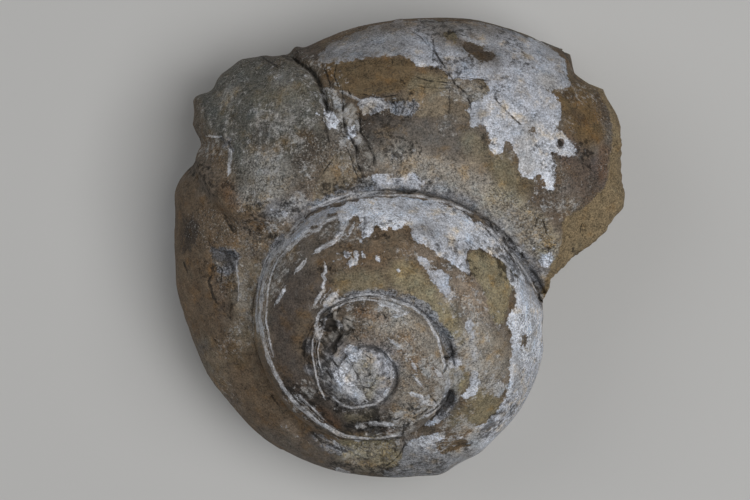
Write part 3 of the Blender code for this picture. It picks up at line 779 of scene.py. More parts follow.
GROUND = strokes(  # strokes of colour on the bare stone, the first lowest
    (Pigment.TAN_BROWN, 60, 0.9, "200,260 200,320 230,390 280,440"),
    (Pigment.WARM_TAN, 16, 0.45, "228,340 252,390 262,412"), (Pigment.OCHRE, 9, 0.5, "233,354 240,362"),
    (Pigment.GREY_BROWN, 10, 0.35, "185,330 205,375 235,415"),
    (Pigment.TAN, 10, 0.6, "215,365 205,345 222,385"), (Pigment.TAN, 19, 1, "258,250 252,275 250,300 252,330"),
    (Pigment.GREY_BROWN, 9, 0.3, "244,262 250,320 240,320"),
    (Pigment.PALE_TAN, 6, 0.6, "240,282 239,300 250,315"), (Pigment.UMBER, 8, 0.4, "222,320 228,312"),
    (Pigment.SLATE, 5, 0.5, "201,350 203,345"), (Pigment.PINK_BROWN, 6, 0.4, "286,425 297,436"),
    (Pigment.GREY_BROWN, 9, 0.5, "268,436 300,452 330,466"),
    (Pigment.DARK_BROWN, 8, 0.6, "192,222 187,245 184,256"),
    (Pigment.GRIT, 48, 0.9, "225,100 260,90 290,110 250,140"),
    (Pigment.TAN_BROWN, 22, 0.95, "205,160 215,200 235,215"), (Pigment.TAN_BROWN, 7, 0.6, "196,105 198,125"),
    (Pigment.RUST, 8, 0.4, "228,190 236,200"), (Pigment.PALE_GRIT, 17, 0.75, "262,165 275,180 255,195"),
    (Pigment.PALE_GRIT, 12, 0.3, "295,100 285,85"), (Pigment.OCHRE, 8, 0.4, "272,150 290,140"),
    (Pigment.DARK_BROWN, 9, 0.6, "308,135 312,150 302,160"),
    (Pigment.BLUE_GREY, 11, 0.6, "300,205 290,215 275,210"), (Pigment.OCHRE, 7, 0.4, "285,222 268,228"),
    (Pigment.TAN_BROWN, 12, 0.7, "250,225 270,240 255,250"), (Pigment.UMBER, 10, 0.8, "300,48 312,52"),
    (Pigment.TAN_BROWN, 8, 0.7, "330,70 326,82"), (Pigment.GREY_BROWN, 16, 0.8, "335,115 345,140 365,160"),
    (Pigment.PALE_TAN, 6, 0.6, "348,110 352,128"), (Pigment.OLIVE, 10, 0.5, "414,86 440,84"),
    (Pigment.TAN, 13, 0.8, "415,104 440,104"), (Pigment.TAN, 9, 0.5, "458,104 462,112"),
    (Pigment.UMBER, 11, 0.75, "375,125 400,127 420,123"),
    (Pigment.MANGANESE, 10, 0.75, "364,122 368,136 384,132 378,122"),
    (Pigment.MANGANESE, 8, 0.35, "384,122 400,124 404,132"),
    (Pigment.GREY_BROWN, 16, 0.85, "385,140 425,135 462,140"), (Pigment.DARK_OLIVE, 9, 0.6, "470,140 482,152"),
    (Pigment.PALE_TAN, 17, 0.75, "395,160 430,172 465,180 490,195"), (Pigment.TAN, 9, 0.6, "478,165 470,155"),
    (Pigment.DARK_OLIVE, 12, 0.8, "500,165 508,180 520,190"), (Pigment.OCHRE, 8, 0.6, "515,195 525,187"),
    (Pigment.PALE_TAN, 19, 0.8, "500,210 520,222 535,240 548,250"), (Pigment.OCHRE, 9, 0.6, "540,232 545,240"),
    (Pigment.UMBER, 12, 0.55, "540,195 555,200 560,215"),
    (Pigment.TAN_BROWN, 12, 0.85, "560,60 575,75 590,90 604,104"),
    (Pigment.OCHRE, 16, 0.9, "570,95 582,105 580,125"), (Pigment.ORANGE, 8, 0.85, "590,118 596,132"),
    (Pigment.ORANGE, 6, 0.6, "586,205 592,198"),
    (Pigment.PURPLE_GREY, 16, 0.95, "572,150 585,165 590,180 580,190"),
    (Pigment.GREY_BROWN, 10, 0.6, "568,190 572,205"), (Pigment.RUST, 6, 0.6, "604,150 602,175"),
    (Pigment.DARK_BROWN, 7, 0.6, "598,92 604,104 608,118"),
    (Pigment.DULL_SHELL, 8, 0.7, "350,192 400,182 440,190 470,205"),
    (Pigment.BLUE_GREY, 11, 0.9, "496,230 515,248 532,272"), (Pigment.DARK_BROWN, 5, 0.7, "536,271 539,282"),
    (Pigment.UMBER, 15, 0.9, "290,278 281,320 290,370 305,392"),
    (Pigment.GREY_BROWN, 13, 0.5, "300,250 288,275"), (Pigment.UMBER, 18, 0.7, "300,290 305,330 315,285"),
    (Pigment.OCHRE, 9, 0.35, "304,320 302,345"), (Pigment.TAN_BROWN, 20, 0.85, "335,262 365,262 395,262"),
    (Pigment.WARM_TAN, 15, 0.7, "385,240 400,250 372,275"), (Pigment.DARK_OLIVE, 11, 0.7, "345,282 375,282"),
    (Pigment.OLIVE, 14, 0.8, "405,275 420,290 440,310"),
    (Pigment.PINK_BROWN, 15, 0.9, "455,290 470,285 480,310"), (Pigment.PINK_BROWN, 8, 0.6, "430,255 418,250"),
    (Pigment.OLIVE, 11, 0.8, "448,325 456,340"),
    (Pigment.PALE_TAN, 16, 0.75, "478,335 492,350 482,372 495,365"), (Pigment.TAN, 8, 0.5, "495,340 500,352"),
    (Pigment.OLIVE, 11, 0.7, "480,400 492,405 478,415"),
    (Pigment.DARK_OLIVE, 9, 0.6, "455,418 470,410 487,408"), (Pigment.SLATE, 7, 0.8, "452,398 444,412"),
    (Pigment.PALE_TAN, 26, 0.55, "400,325 420,345 410,385"), (Pigment.PALE_TAN, 12, 0.5, "375,320 400,318"),
    (Pigment.WARM_TAN, 9, 0.5, "400,340 420,370"), (Pigment.OCHRE, 6, 0.6, "425,372 432,366"),
    (Pigment.GREY_BROWN, 13, 0.8, "328,322 334,345 328,375"),
    (Pigment.DARK_BROWN, 6, 0.7, "324,326 336,332 333,350"), (Pigment.DARK_BROWN, 5, 0.6, "345,325 352,331"),
    (Pigment.RUST, 3, 0.8, "388,349 400,349"), (Pigment.RUST, 6, 0.4, "415,364 438,374"),
    (Pigment.RUST, 6, 0.4, "360,312 385,318"), (Pigment.BLUE_GREY, 8, 0.8, "386,350 391,366 388,382"),
    (Pigment.SHELL_GREY, 26, 0.9, "350,372 360,385 366,368"), (Pigment.SHELL_GREY, 10, 0.5, "345,380 352,355"),
    (Pigment.MANGANESE, 10, 0.85, "318,404 335,418 355,425 378,424"),
    (Pigment.DARK_OLIVE, 6, 0.5, "350,416 372,413"), (Pigment.UMBER, 7, 0.5, "395,408 380,416"),
    (Pigment.RUST, 6, 0.4, "320,412 335,424"), (Pigment.PALE_TAN, 11, 0.5, "405,412 425,402"),
    (Pigment.RUST, 4, 0.6, "345,437 370,436 390,431"), (Pigment.SLATE, 6, 0.6, "313,437 330,448 345,455"),
    (Pigment.OLIVE, 12, 0.9, "350,450 375,446 392,456 365,462"), (Pigment.PALE_TAN, 8, 0.3, "355,456 372,452"),
    (Pigment.OCHRE, 8, 0.85, "445,445 460,444"), (Pigment.DULL_SHELL, 9, 0.6, "408,448 425,450 410,462"),
    (Pigment.TAN_BROWN, 10, 0.9, "455,30 470,42 488,55"), (Pigment.DARK_OLIVE, 10, 0.6, "444,34 470,44 492,58"),
    (Pigment.DARK_BROWN, 8, 0.9, "466,46 480,52 492,58"), (Pigment.TAN, 8, 0.8, "480,86 492,92"),
    (Pigment.TAN_BROWN, 6, 0.7, "400,22 440,22 470,24"), (Pigment.OCHRE, 11, 0.4, "500,205 512,228 530,245"),
    (Pigment.OCHRE, 9, 0.4, "585,140 588,150"), (Pigment.WARM_TAN, 9, 0.85, "184,250 186,300 190,330"),
    (Pigment.GREY_BROWN, 10, 0.4, "248,250 285,245"), (Pigment.WARM_TAN, 8, 0.5, "350,345 362,338 385,342"),
    (Pigment.WARM_TAN, 9, 0.45, "395,385 412,396"), (Pigment.OLIVE, 9, 0.7, "362,366 372,380 365,392"),
    (Pigment.UMBER, 7, 0.5, "219,282 223,305"), (Pigment.BLUE_GREY, 4, 0.6, "308,343 309,350"),
    (Pigment.BLUE_GREY, 4, 0.6, "307,369 312,371"), (Pigment.PALE_GRIT, 8, 0.5, "232,90 226,98"),
    (Pigment.PALE_GRIT, 8, 0.4, "276,78 283,84"), (Pigment.PALE_GRIT, 9, 0.4, "282,106 288,122"),
    (Pigment.DARK_OLIVE, 10, 0.3, "262,100 300,92"), (Pigment.UMBER, 9, 0.4, "262,128 258,146"),
    (Pigment.DARK_BROWN, 6, 0.5, "266,56 276,62"), (Pigment.PALE_TAN, 9, 0.5, "455,86 478,96"),
    (Pigment.OLIVE, 14, 0.5, "500,198 515,212 530,228 545,244"),
    (Pigment.PALE_TAN, 13, 0.75, "502,214 516,224 530,236"), (Pigment.OCHRE, 6, 0.4, "506,206 522,214"),
    (Pigment.OCHRE, 6, 0.5, "536,222 544,232"), (Pigment.OCHRE, 12, 0.35, "580,165 590,190 575,205"),
    (Pigment.ORANGE, 9, 0.6, "588,100 592,125 594,138"), (Pigment.ORANGE, 14, 0.85, "568,98 580,112 584,130"),
    (Pigment.OCHRE, 5, 0.6, "518,224 528,226 529,236"), (Pigment.OLIVE, 7, 0.8, "452,372 462,376 459,386"),
    (Pigment.DARK_BROWN, 5, 0.5, "574,112 580,118"), (Pigment.DARK_BROWN, 5, 0.5, "566,92 572,98"),
    (Pigment.WARM_TAN, 13, 0.5, "402,345 420,365 424,388"), (Pigment.GREY_BROWN, 10, 0.5, "378,168 396,166"),
    (Pigment.GREY_BROWN, 11, 0.5, "186,170 206,168 206,190"), (Pigment.GREY_BROWN, 9, 0.5, "246,232 252,246"),
    (Pigment.GREY_BROWN, 9, 0.6, "345,466 380,472"), (Pigment.OLIVE, 8, 0.5, "505,268 512,280"),
    (Pigment.TAN_BROWN, 8, 0.5, "450,442 470,446"),
)
SHELL_SHADES = strokes(  # strokes over the shell's own white
    (Pigment.DULL_SHELL, 15, 0.95, "320,52 350,44 390,36 415,42"),
    (Pigment.SHELL_GREY, 7, 0.4, "340,50 370,44 400,42"),
    # the next two strokes darken the top edge: partly the shell's own brown-grey, partly painted shade where
    # the top turns from the light
    (Pigment.GREY_BROWN, 8, 0.75, "330,40 365,27 400,22 440,20 480,24 520,33"),
    (Pigment.TAN_BROWN, 5, 0.5, "385,28 410,26 430,24"), (Pigment.DULL_SHELL, 10, 0.5, "400,35 420,48 435,58"),
    (Pigment.DULL_SHELL, 8, 0.85, "328,60 350,57 385,53 412,53"),
    (Pigment.DULL_SHELL, 9, 0.55, "545,50 560,62 566,80"),
    (Pigment.SHELL_GREY, 10, 0.45, "450,70 475,76 500,90"),
    (Pigment.SHELL_GREY, 10, 0.35, "522,132 512,140 525,160 540,165"),
    (Pigment.SHELL_GREY, 10, 0.75, "425,264 440,278 452,292"),
    (Pigment.SHELL_GREY, 9, 0.4, "395,205 425,212 445,225"),
    (Pigment.DULL_SHELL, 9, 0.35, "470,330 474,350 470,380"),
    (Pigment.SHELL_GREY, 20, 0.8, "425,45 450,66 470,70 500,60"),
    (Pigment.GREY_BROWN, 9, 0.6, "430,24 465,28 500,38"), (Pigment.SHELL_GREY, 18, 0.6, "510,50 535,60 550,75"),
    (Pigment.DULL_SHELL, 6, 0.4, "524,60 528,52"), (Pigment.SHELL_GREY, 14, 0.55, "505,85 530,95 545,110"),
    (Pigment.PALE_TAN, 8, 0.5, "545,78 552,84"), (Pigment.PALE_TAN, 9, 0.45, "530,128 522,150 528,168"),
    (Pigment.BLUE_GREY, 5, 0.6, "480,104 484,116"), (Pigment.BLUE_GREY, 7, 0.5, "470,112 476,122"),
    (Pigment.SHELL_GREY, 14, 0.6, "420,232 450,248 470,262"), (Pigment.DULL_SHELL, 7, 0.35, "425,226 440,240"),
    (Pigment.GREY_BROWN, 6, 0.4, "415,228 430,232"), (Pigment.SHELL_GREY, 10, 0.6, "330,212 310,222"),
    (Pigment.BLUE_GREY, 14, 0.75, "365,106 376,108"), (Pigment.DULL_SHELL, 12, 0.6, "400,108 402,108"),
    (Pigment.SHELL_GREY, 12, 0.8, "380,182 410,182"), (Pigment.SHELL_GREY, 12, 0.4, "530,370 522,395 500,425"),
    (Pigment.DULL_SHELL, 17, 0.9, "430,465 405,458 390,475 460,462"),
    (Pigment.PALE_TAN, 6, 0.4, "515,372 520,385"), (Pigment.SHELL_GREY, 9, 0.6, "455,436 480,425"),
    (Pigment.DULL_SHELL, 5, 0.6, "524,340 525,352"), (Pigment.SHELL_GREY, 8, 0.5, "472,340 476,350"),
    (Pigment.PALE_TAN, 8, 0.6, "498,388 500,390"), (Pigment.SHELL_GREY, 6, 0.6, "330,390 345,405 358,409"),
    (Pigment.GREY_BROWN, 12, 0.5, "440,34 468,48 494,60"),
) + strokes(
    (Pigment.GREY_BROWN, 6, 0.7, "442,34 458,42 474,50 494,60"), (Pigment.TAN_BROWN, 4, 0.6, "452,38 462,43"),
    (Pigment.TAN_BROWN, 3, 0.5, "470,34 478,38"),
    soft=0.9,
) + strokes(
    (Pigment.DARK_OLIVE, 8, 0.6, "362,366 372,380 365,392"),
    (Pigment.CHALK, 16, 0.95, "510,318 530,326 538,348"),
    (Pigment.DULL_SHELL, 2.5, 0.5, "531,310 534,330 530,350"),
    (Pigment.BLUE_GREY, 7, 0.7, "529,284 536,293 541,300"),
    (Pigment.DULL_SHELL, 3, 0.5, "514,350 520,372 512,395"), (Pigment.PALE_TAN, 9, 0.5, "455,448 475,440"),
)
SPECKLED = touches(  # where coarse grains show
    (14, 0.7, "345,35 380,28 400,24"), (16, 0.7, "400,465 440,460"), (18, 0.6, "590,190 610,160 575,235"),
    (14, 0.55, "535,350 528,390"), (20, 1, "500,205 525,225 545,250"), (22, 0.7, "400,165 440,175 480,190"),
    (48, 0.62, "240,95 285,110 260,180 225,130"), (18, 1, "262,165 275,185 255,195"),
    (20, 0.9, "345,120 360,160 310,150"), (32, 0.8, "365,330 400,335 410,390"), (28, 1, "355,375 350,390"),
    (14, 1, "410,412 380,425"), (14, 0.7, "560,165 560,200 545,200"), (9, 1, "505,245 530,272"),
    (14, 0.9, "300,200 280,215"), (10, 0.9, "400,108 380,106"), (11, 0.8, "222,256 226,290"),
    (10, 0.7, "480,320 470,308"), (14, 0.55, "490,270 495,300"), (12, 0.6, "430,440 420,455"),
    (18, 0.9, "360,455 380,452"), (16, 0.5, "470,340 485,380"), (26, 0.7, "205,228 240,236 268,240"),
    (16, 0.7, "240,168 300,172 318,190"), (18, 0.75, "215,70 250,62 300,64"),
    (16, 1, "530,320 535,360 520,400"), (12, 0.7, "600,105 610,130"), (16, 0.8, "400,440 380,465 440,465"),
    (14, 1, "530,215 545,240"),
)
FLAKY = touches(  # where pale flakes cling
    (16, 0.9, "327,98 345,120 350,138"), (10, 0.6, "322,60 335,75 345,90"),
    (12, 0.8, "340,190 390,182 440,186"), (20, 0.45, "400,160 440,175 480,195"),
    (18, 0.55, "290,255 310,225 340,212"), (22, 0.35, "318,240 350,258 370,250"),
    (17, 0.65, "440,262 462,285 490,325"), (22, 0.6, "463,330 485,360 510,400"),
    (9, 0.65, "555,140 574,148 582,154"), (8, 0.85, "541,250 550,262 545,275"),
    (12, 0.55, "535,150 530,175 540,200"), (14, 0.5, "500,200 525,225 545,245"),
    (17, 0.65, "250,150 270,175 250,205"), (10, 0.55, "275,70 305,80 320,115"),
    (14, 0.3, "200,75 230,60 260,58"), (11, 0.85, "300,200 280,215 265,235"),
    (9, 0.5, "236,280 238,300 244,316"), (7, 0.5, "250,320 246,335 238,330"),
    (24, 0.95, "340,375 350,385 362,368"), (7, 0.6, "322,380 335,403 357,409 380,402"),
    (8, 0.45, "318,330 325,350 322,375"), (8, 0.8, "330,308 360,303 392,306"),
    (18, 0.5, "375,320 400,335 410,360"), (12, 0.8, "395,425 415,412 435,398"),
    (12, 0.8, "400,440 425,450 450,438"), (7, 0.8, "360,425 380,434 400,436"),
    (10, 0.85, "290,395 300,405 318,418"), (7, 0.35, "303,345 306,365 312,372"),
    (6, 0.5, "286,425 297,436 310,440"), (6, 0.6, "268,262 262,300 264,335"), (8, 0.4, "520,52 555,75 562,95"),
    (9, 0.7, "375,100 400,106 420,104"), (9, 0.75, "450,355 462,362 456,380"),
)
DUSTY = touches(  # a thin pale film
    (13, 0.25, "310,66 308,74"), (12, 0.3, "450,90 475,93"), (12, 0.18, "568,90 590,96"),
    (21, 0.3, "265,118 288,130 275,150"), (12, 0.18, "305,105 308,125"), (18, 0.13, "205,100 235,85 215,130"),
    (12, 0.18, "448,128 446,124"), (10, 0.18, "505,150 506,154"), (10, 0.13, "570,128 562,126"),
    (12, 0.18, "350,168 345,152"), (12, 0.28, "550,210 572,208"), (14, 0.25, "326,228 350,232"),
    (10, 0.2, "288,230 294,226"), (12, 0.35, "288,252 278,266 270,290"), (12, 0.2, "250,266 250,292"),
    (10, 0.6, "504,226 514,236"), (9, 0.6, "540,280 545,293"), (10, 0.15, "408,248 404,252"),
    (14, 0.25, "450,306 474,311"), (17, 0.2, "248,326 230,346"), (15, 0.12, "510,328 530,333 520,352"),
    (12, 0.5, "466,342 472,364"), (14, 0.5, "432,368 450,376 448,394"), (11, 0.38, "488,388 496,386"),
    (10, 0.2, "466,408 470,402"), (10, 0.3, "405,428 412,436"), (12, 0.28, "448,428 456,424"),
    (12, 0.12, "232,402 214,380"), (9, 0.15, "345,327 350,322"), (9, 0.25, "318,308 330,300"),
    (9, 0.25, "442,440 448,436"), (9, 0.25, "520,228 530,244"), (8, 0.35, "264,246 270,254"),
    (9, 0.5, "462,424 474,434"), (8, 0.4, "404,346 410,354"), (9, 0.3, "508,218 514,226"),
    (10, 0.3, "204,148 212,152"), (10, 0.25, "228,126 232,134"), (10, 0.2, "246,150 252,160"),
    (9, 0.2, "304,106 308,114"), (9, 0.3, "304,166 310,172"), (8, 0.3, "390,186 396,192"),
    (9, 0.3, "466,306 472,314"), (8, 0.4, "304,386 310,392"), (8, 0.25, "408,250 412,256"),
    (8, 0.3, "500,230 506,236"),
)
STAINED = touches(  # darker ground water stains, on shell and stone
    (12, 0.1, "358,48 400,50"), (12, 0.2, "500,82 510,90"), (12, 0.12, "528,106 534,112"),
    (10, 0.28, "424,26 464,29"), (12, 0.3, "438,64 464,66"), (10, 0.25, "404,86 408,106"),
    (10, 0.3, "484,222 488,226"), (8, 0.5, "490,426 484,434"), (10, 0.22, "204,266 208,272"),
    (9, 0.25, "370,108 366,104"), (9, 0.28, "352,126 352,134"), (13, 0.32, "386,130 392,148 414,152"),
    (10, 0.24, "410,166 404,170"), (10, 0.28, "548,166 552,172"), (11, 0.42, "330,190 342,188 372,187"),
    (11, 0.38, "250,206 268,222"), (10, 0.3, "288,208 294,204"), (10, 0.22, "448,208 472,212"),
    (12, 0.24, "368,229 390,229"), (12, 0.26, "446,248 470,245 490,249"), (11, 0.36, "506,268 512,276"),
    (9, 0.2, "550,250 553,246"), (12, 0.45, "308,348 322,368 326,390"), (10, 0.25, "388,348 382,352"),
    (10, 0.18, "368,368 374,372"), (11, 0.45, "288,388 308,408 316,416"), (11, 0.55, "344,406 370,408 372,428"),
    (11, 0.3, "510,406 490,428"), (12, 0.22, "428,448 470,446"), (10, 0.32, "348,468 358,470"),
    (11, 0.34, "420,466 438,466"), (10, 0.18, "488,126 490,150"), (8, 0.35, "335,467 375,471 405,470"),
    (9, 0.3, "350,425 365,432"), (10, 0.28, "366,108 412,110"), (10, 0.3, "210,186 230,190"),
    (9, 0.35, "584,148 588,168"), (8, 0.3, "340,246 348,250"), (9, 0.35, "262,226 270,236"),
    (9, 0.65, "504,262 514,272"), (8, 0.5, "360,186 370,192"), (8, 0.35, "324,268 330,276"),
    (8, 0.4, "304,404 312,410"), (8, 0.4, "322,426 332,430"), (9, 0.3, "536,144 546,152"),
    (8, 0.3, "400,186 408,192"), (10, 0.3, "188,168 204,172"), (9, 0.3, "248,226 256,232"),
    (8, 0.3, "362,222 372,232"), (9, 0.3, "346,124 352,132"), (8, 0.25, "364,188 372,192"),
    (9, 0.25, "408,168 412,174"), (9, 0.3, "424,186 432,192"), (9, 0.25, "486,86 494,92"),
    (11, 0.28, "504,28 512,50 525,66"), (8, 0.3, "504,246 514,254"), (9, 0.3, "466,266 474,274"),
    (8, 0.3, "484,222 490,230"),
)
SEDIMENT_STRIP = paths(  # the sediment that shows in the break
    "571,52 575,70 584,82 598,90 603,100 609,110 613,125 612,140 610,152 608,175 606,185 601,190 594,197 "
    "588,203 575,213 567,217 562,222 561,235 560,245 557,255 551,264 549,270 545,280 542,290 540,298 552,300 "
    "600,270 660,220 660,100 600,60 575,40",
)


# --- Relief and paint ------------------------------------------------------------------------


@dataclass
class Surface:
    """The points of a skin with what relief and paint need to know of them."""

    points: np.ndarray
    normals: np.ndarray
    suture: np.ndarray
    broken: np.ndarray
    rough: np.ndarray
    places: np.ndarray = field(init=False)
    shown: np.ndarray = field(init=False)
    wobble: np.ndarray = field(init=False)
    kept: ClassVar[tuple[str, ...]] = ("suture", "broken", "rough")
    turned_away: ClassVar[Range] = (-0.12, 0.16)
    wavers: ClassVar[tuple[Grain, Grain]] = (Grain(1.7, 5.0, 0.30), Grain(4.1, 8.0, 0.35))

    def __post_init__(self) -> None:
        """Works out where each point is seen, whether it faces the viewpoint, and how edges waver."""
        self.places = CHART.seen(self.points)
        sight = np.array(CHART.eye) - self.points
        sight /= np.linalg.norm(sight, axis=1, keepdims=True)
        self.shown = ramp(*self.turned_away, np.einsum("ij,ij->i", self.normals, sight))
        short, long = self.wavers
        self.wobble = short.at(self.points) + long.at(self.points)

    @classmethod
    def of(cls, bm: Mesh) -> "Surface":
        """The surface of a mesh.

        Args:
            bm: a mesh whose vertices have the layers that are kept.

        Returns:
            Its surface.
        """
        layers = [bm.verts.layers.float[name] for name in cls.kept]
        return cls(
            np.array([vert.co for vert in bm.verts]),
            np.array([vert.normal for vert in bm.verts]),
            *(np.array([vert[layer] for vert in bm.verts]) for layer in layers),
        )


@dataclass(frozen=True)
class Remnants:
    """Where remnants of the shell lie: as drawn on the seen side, a few of their own on the hidden ones."""

    edge_wander: float = 1.1
    spot_wander: float = 2.2
    line_half_width: float = 0.22
    line_wander: float = 0.8
    dot_radius: float = 0.30
    dot_wander: float = 1.0
    hidden: Grain = Grain(23.0, 31.0)
    hidden_share: float = 0.27
    hidden_slope: float = 9.0
    hidden_wander: float = 2.0
    hidden_most: float = 4.0

    def into(self, surface: Surface) -> np.ndarray:
        """Distance into the remnants, with ragged edges.

        Args:
            surface: the stone's surface.

        Returns:
            Millimetres, negative outside them.
        """
        places, wobble = surface.places, surface.wobble
        drawn = CHART.inside_any(places, SHELL) + self.edge_wander * wobble
        for outline in BARE_SPOTS:
            drawn = np.minimum(drawn, self.spot_wander * wobble - CHART.inside(places, outline))
        for line in SHELL_LINES:
            half = self.line_half_width + self.line_wander * wobble
            drawn = np.maximum(drawn, half - CHART.to_line(places, line))
        for dot in SHELL_DOTS:
            drawn = np.maximum(drawn, self.dot_radius + self.dot_wander * wobble - CHART.to_line(places, dot))
        hidden = self.hidden_slope * (self.hidden.at(surface.points) - self.hidden_share)
        hidden = hidden + self.hidden_wander * wobble
        hidden = np.where(surface.broken > 0.5, -self.hidden_most, hidden)
        hidden = np.clip(hidden, -self.hidden_most, self.hidden_most)
        return surface.shown * drawn + (1.0 - surface.shown) * hidden


REMNANTS = Remnants()


@dataclass
class Relief:
    """How far the surface stands out from the plain form, in millimetres."""

    dents: Grain = Grain(13.0, 3.0, 0.45)
    groove_depth: float = 0.85
    groove_width: float = 1.5
    deep_groove: float = 1.3
    deep_width: float = 2.2
    deep_at: float = 0.4
    filling: float = 0.95
    filled_width: float = 1.9
    filled_at: float = 0.7
    cleft_depth: float = 0.65
    cleft_width: float = 0.4
    cleft_at: float = 0.55
    cleft_least: float = 0.4
    ridge_height: float = 0.42
    ridge_width: float = 0.42
    ridge_at: float = -0.55
    suture_waver: float = 0.3
    rim_height: float = 0.32
    rim_spread: float = 1.1
    lump_height: float = 2.6
    lump_edge: float = 3.2
    lump_waver: float = 0.8
    lump_overhang: float = 1.0
    lump_taper: float = 0.6
    lump_taper_from: float = 24.0
    shoulder_height: float = 4.6
    shoulder_width: float = 9.5
    over_rim: Range = (0.1, 0.75)
    notch_depth: float = 2.4
    notch_width: float = 2.6
    pit_depth: float = 1.9
    pit_edge: float = 0.8
    base_patch_depth: float = 0.9
    base_patch_edge: float = 0.8
    ledge_height: float = 0.9
    ledge_edge: float = 0.6
    hollow_depth: float = 0.9
    hollow_edge: Range = (-0.3, 1.0)
    scar_waver: float = 0.4
    crack_waver: float = 0.5
    narrowest_crack: float = 0.28
    shell_thickness: float = 0.34
    shell_edge: Range = (-0.18, 0.22)
    break_rough: float = 0.4
    rough: float = 0.04
    coarse: Grain = Grain(3.4, 11.0, 0.8)
    fine: Grain = Grain(1.35, 17.0, 1.1)

    def of(self, surface: Surface) -> np.ndarray:
        """The relief at each point, with its roughness also noted on the surface.

        Args:
            surface: the plain form's surface.

        Returns:
            Heights along the normals.
        """
        high = self.dents.at(surface.points)
        high += self.at_suture(surface)
        high += self.lump(surface)
        high += surface.shown * self.scars(surface)
        for line, half_width in PALE_LINES:
            near = bump(CHART.to_line(surface.places, line), self.rim_spread * half_width)
            high += self.rim_height * surface.shown * near
        high += self.shell_thickness * ramp(*self.shell_edge, REMNANTS.into(surface))
        surface.rough = self.roughness(surface)
        return high + surface.rough

    def outline_shift(self, points: np.ndarray) -> np.ndarray:
        """How far the outline departs from the spiral's own.

        Args:
            points: places on the skin.

        Returns:
            How far each point is moved, always level.
        """
        shift = np.zeros_like(points)
        for centre, way, reach in OUTLINE_SHIFTS:
            near = bump(np.linalg.norm(points[:, :2] - np.array(centre), axis=1), reach)
            shift[:, :2] += near[:, None] * np.array(way)
        return shift

    def at_suture(self, surface: Surface) -> np.ndarray:
        """The groove along the suture, the narrow cleft in it and the ridge on its inner side.

        Args:
            surface: the plain form's surface.

        Returns:
            Heights.
        """
        away = surface.suture
        wave = self.suture_waver * surface.wobble
        deep = touched(surface.places, wave, DEEP_SUTURE)
        faint = 1.0 - touched(surface.places, wave, FAINT_SUTURE)
        groove = self.groove_depth * bump(away, self.groove_width)
        groove = groove * faint + self.deep_groove * deep * bump(away - self.deep_at, self.deep_width)
        open_share = self.cleft_least + (1.0 - self.cleft_least) * faint
        cleft = self.cleft_depth * open_share * bump(away + wave - self.cleft_at, self.cleft_width)
        ridge = self.ridge_height * bump(away + wave - self.ridge_at, self.ridge_width)
        filled = self.filling * (1.0 - faint) * bump(away - self.filled_at, self.filled_width)
        return ridge + filled - groove - cleft

    def lump(self, surface: Surface) -> np.ndarray:
        """The lump of cemented grit, with its shoulder and its notch.

        Args:
            surface: the plain form's surface.

        Returns:
            Heights.
        """
        taper = self.lump_taper * np.maximum(self.lump_taper_from - surface.points[:, 2], 0.0)
        inside = CHART.inside(surface.places, LUMP) + self.lump_waver * surface.wobble - taper
        rise = ramp(0.0, self.lump_edge, inside)
        over_rim = 1.0 - ramp(*self.over_rim, surface.normals[:, 2])
        shoulder = bump(CHART.to_line(surface.places, LUMP_SHOULDER), self.shoulder_width)
        high = rise * (self.lump_height + over_rim * (self.lump_overhang + self.shoulder_height * shoulder))
        return high - self.notch_depth * bump(CHART.to_line(surface.places, NOTCH), self.notch_width)

    def scars(self, surface: Surface) -> np.ndarray:
        """What is broken away or cracked on the side that is seen.

        Args:
            surface: the plain form's surface.

        Returns:
            Heights, most of them negative.
        """
        places, wave = surface.places, self.scar_waver * surface.wobble
        high = -self.pit_depth * ramp(0.0, self.pit_edge, CHART.inside(places, PIT) + wave)
        patch = ramp(0.0, self.base_patch_edge, CHART.inside(places, BASE_PATCH) + wave)
        high -= self.base_patch_depth * patch
        high += self.ledge_height * ramp(0.0, self.ledge_edge, CHART.inside(places, LEDGE) + wave)
        high -= self.hollow_depth * ramp(*self.hollow_edge, CHART.inside_any(places, HOLLOWS) + wave)
        for line, half_width, depth in CRACKS:
            away = CHART.to_line(places, line) + self.crack_waver * wave
            high -= depth * bump(away, max(half_width, self.narrowest_crack))
        return high

    def roughness(self, surface: Surface) -> np.ndarray:
        """Rough ground where the skin is worn or broken, and on the break.

        Args:
            surface: the plain form's surface.

        Returns:
            Heights.
        """
        seen = surface.shown * touched(surface.places, surface.wobble, ROUGH_GROUND)
        amount = np.maximum(seen, np.where(surface.broken > 0.5, self.break_rough, self.rough))
        return amount * (self.coarse.at(surface.points) + self.fine.at(surface.points))


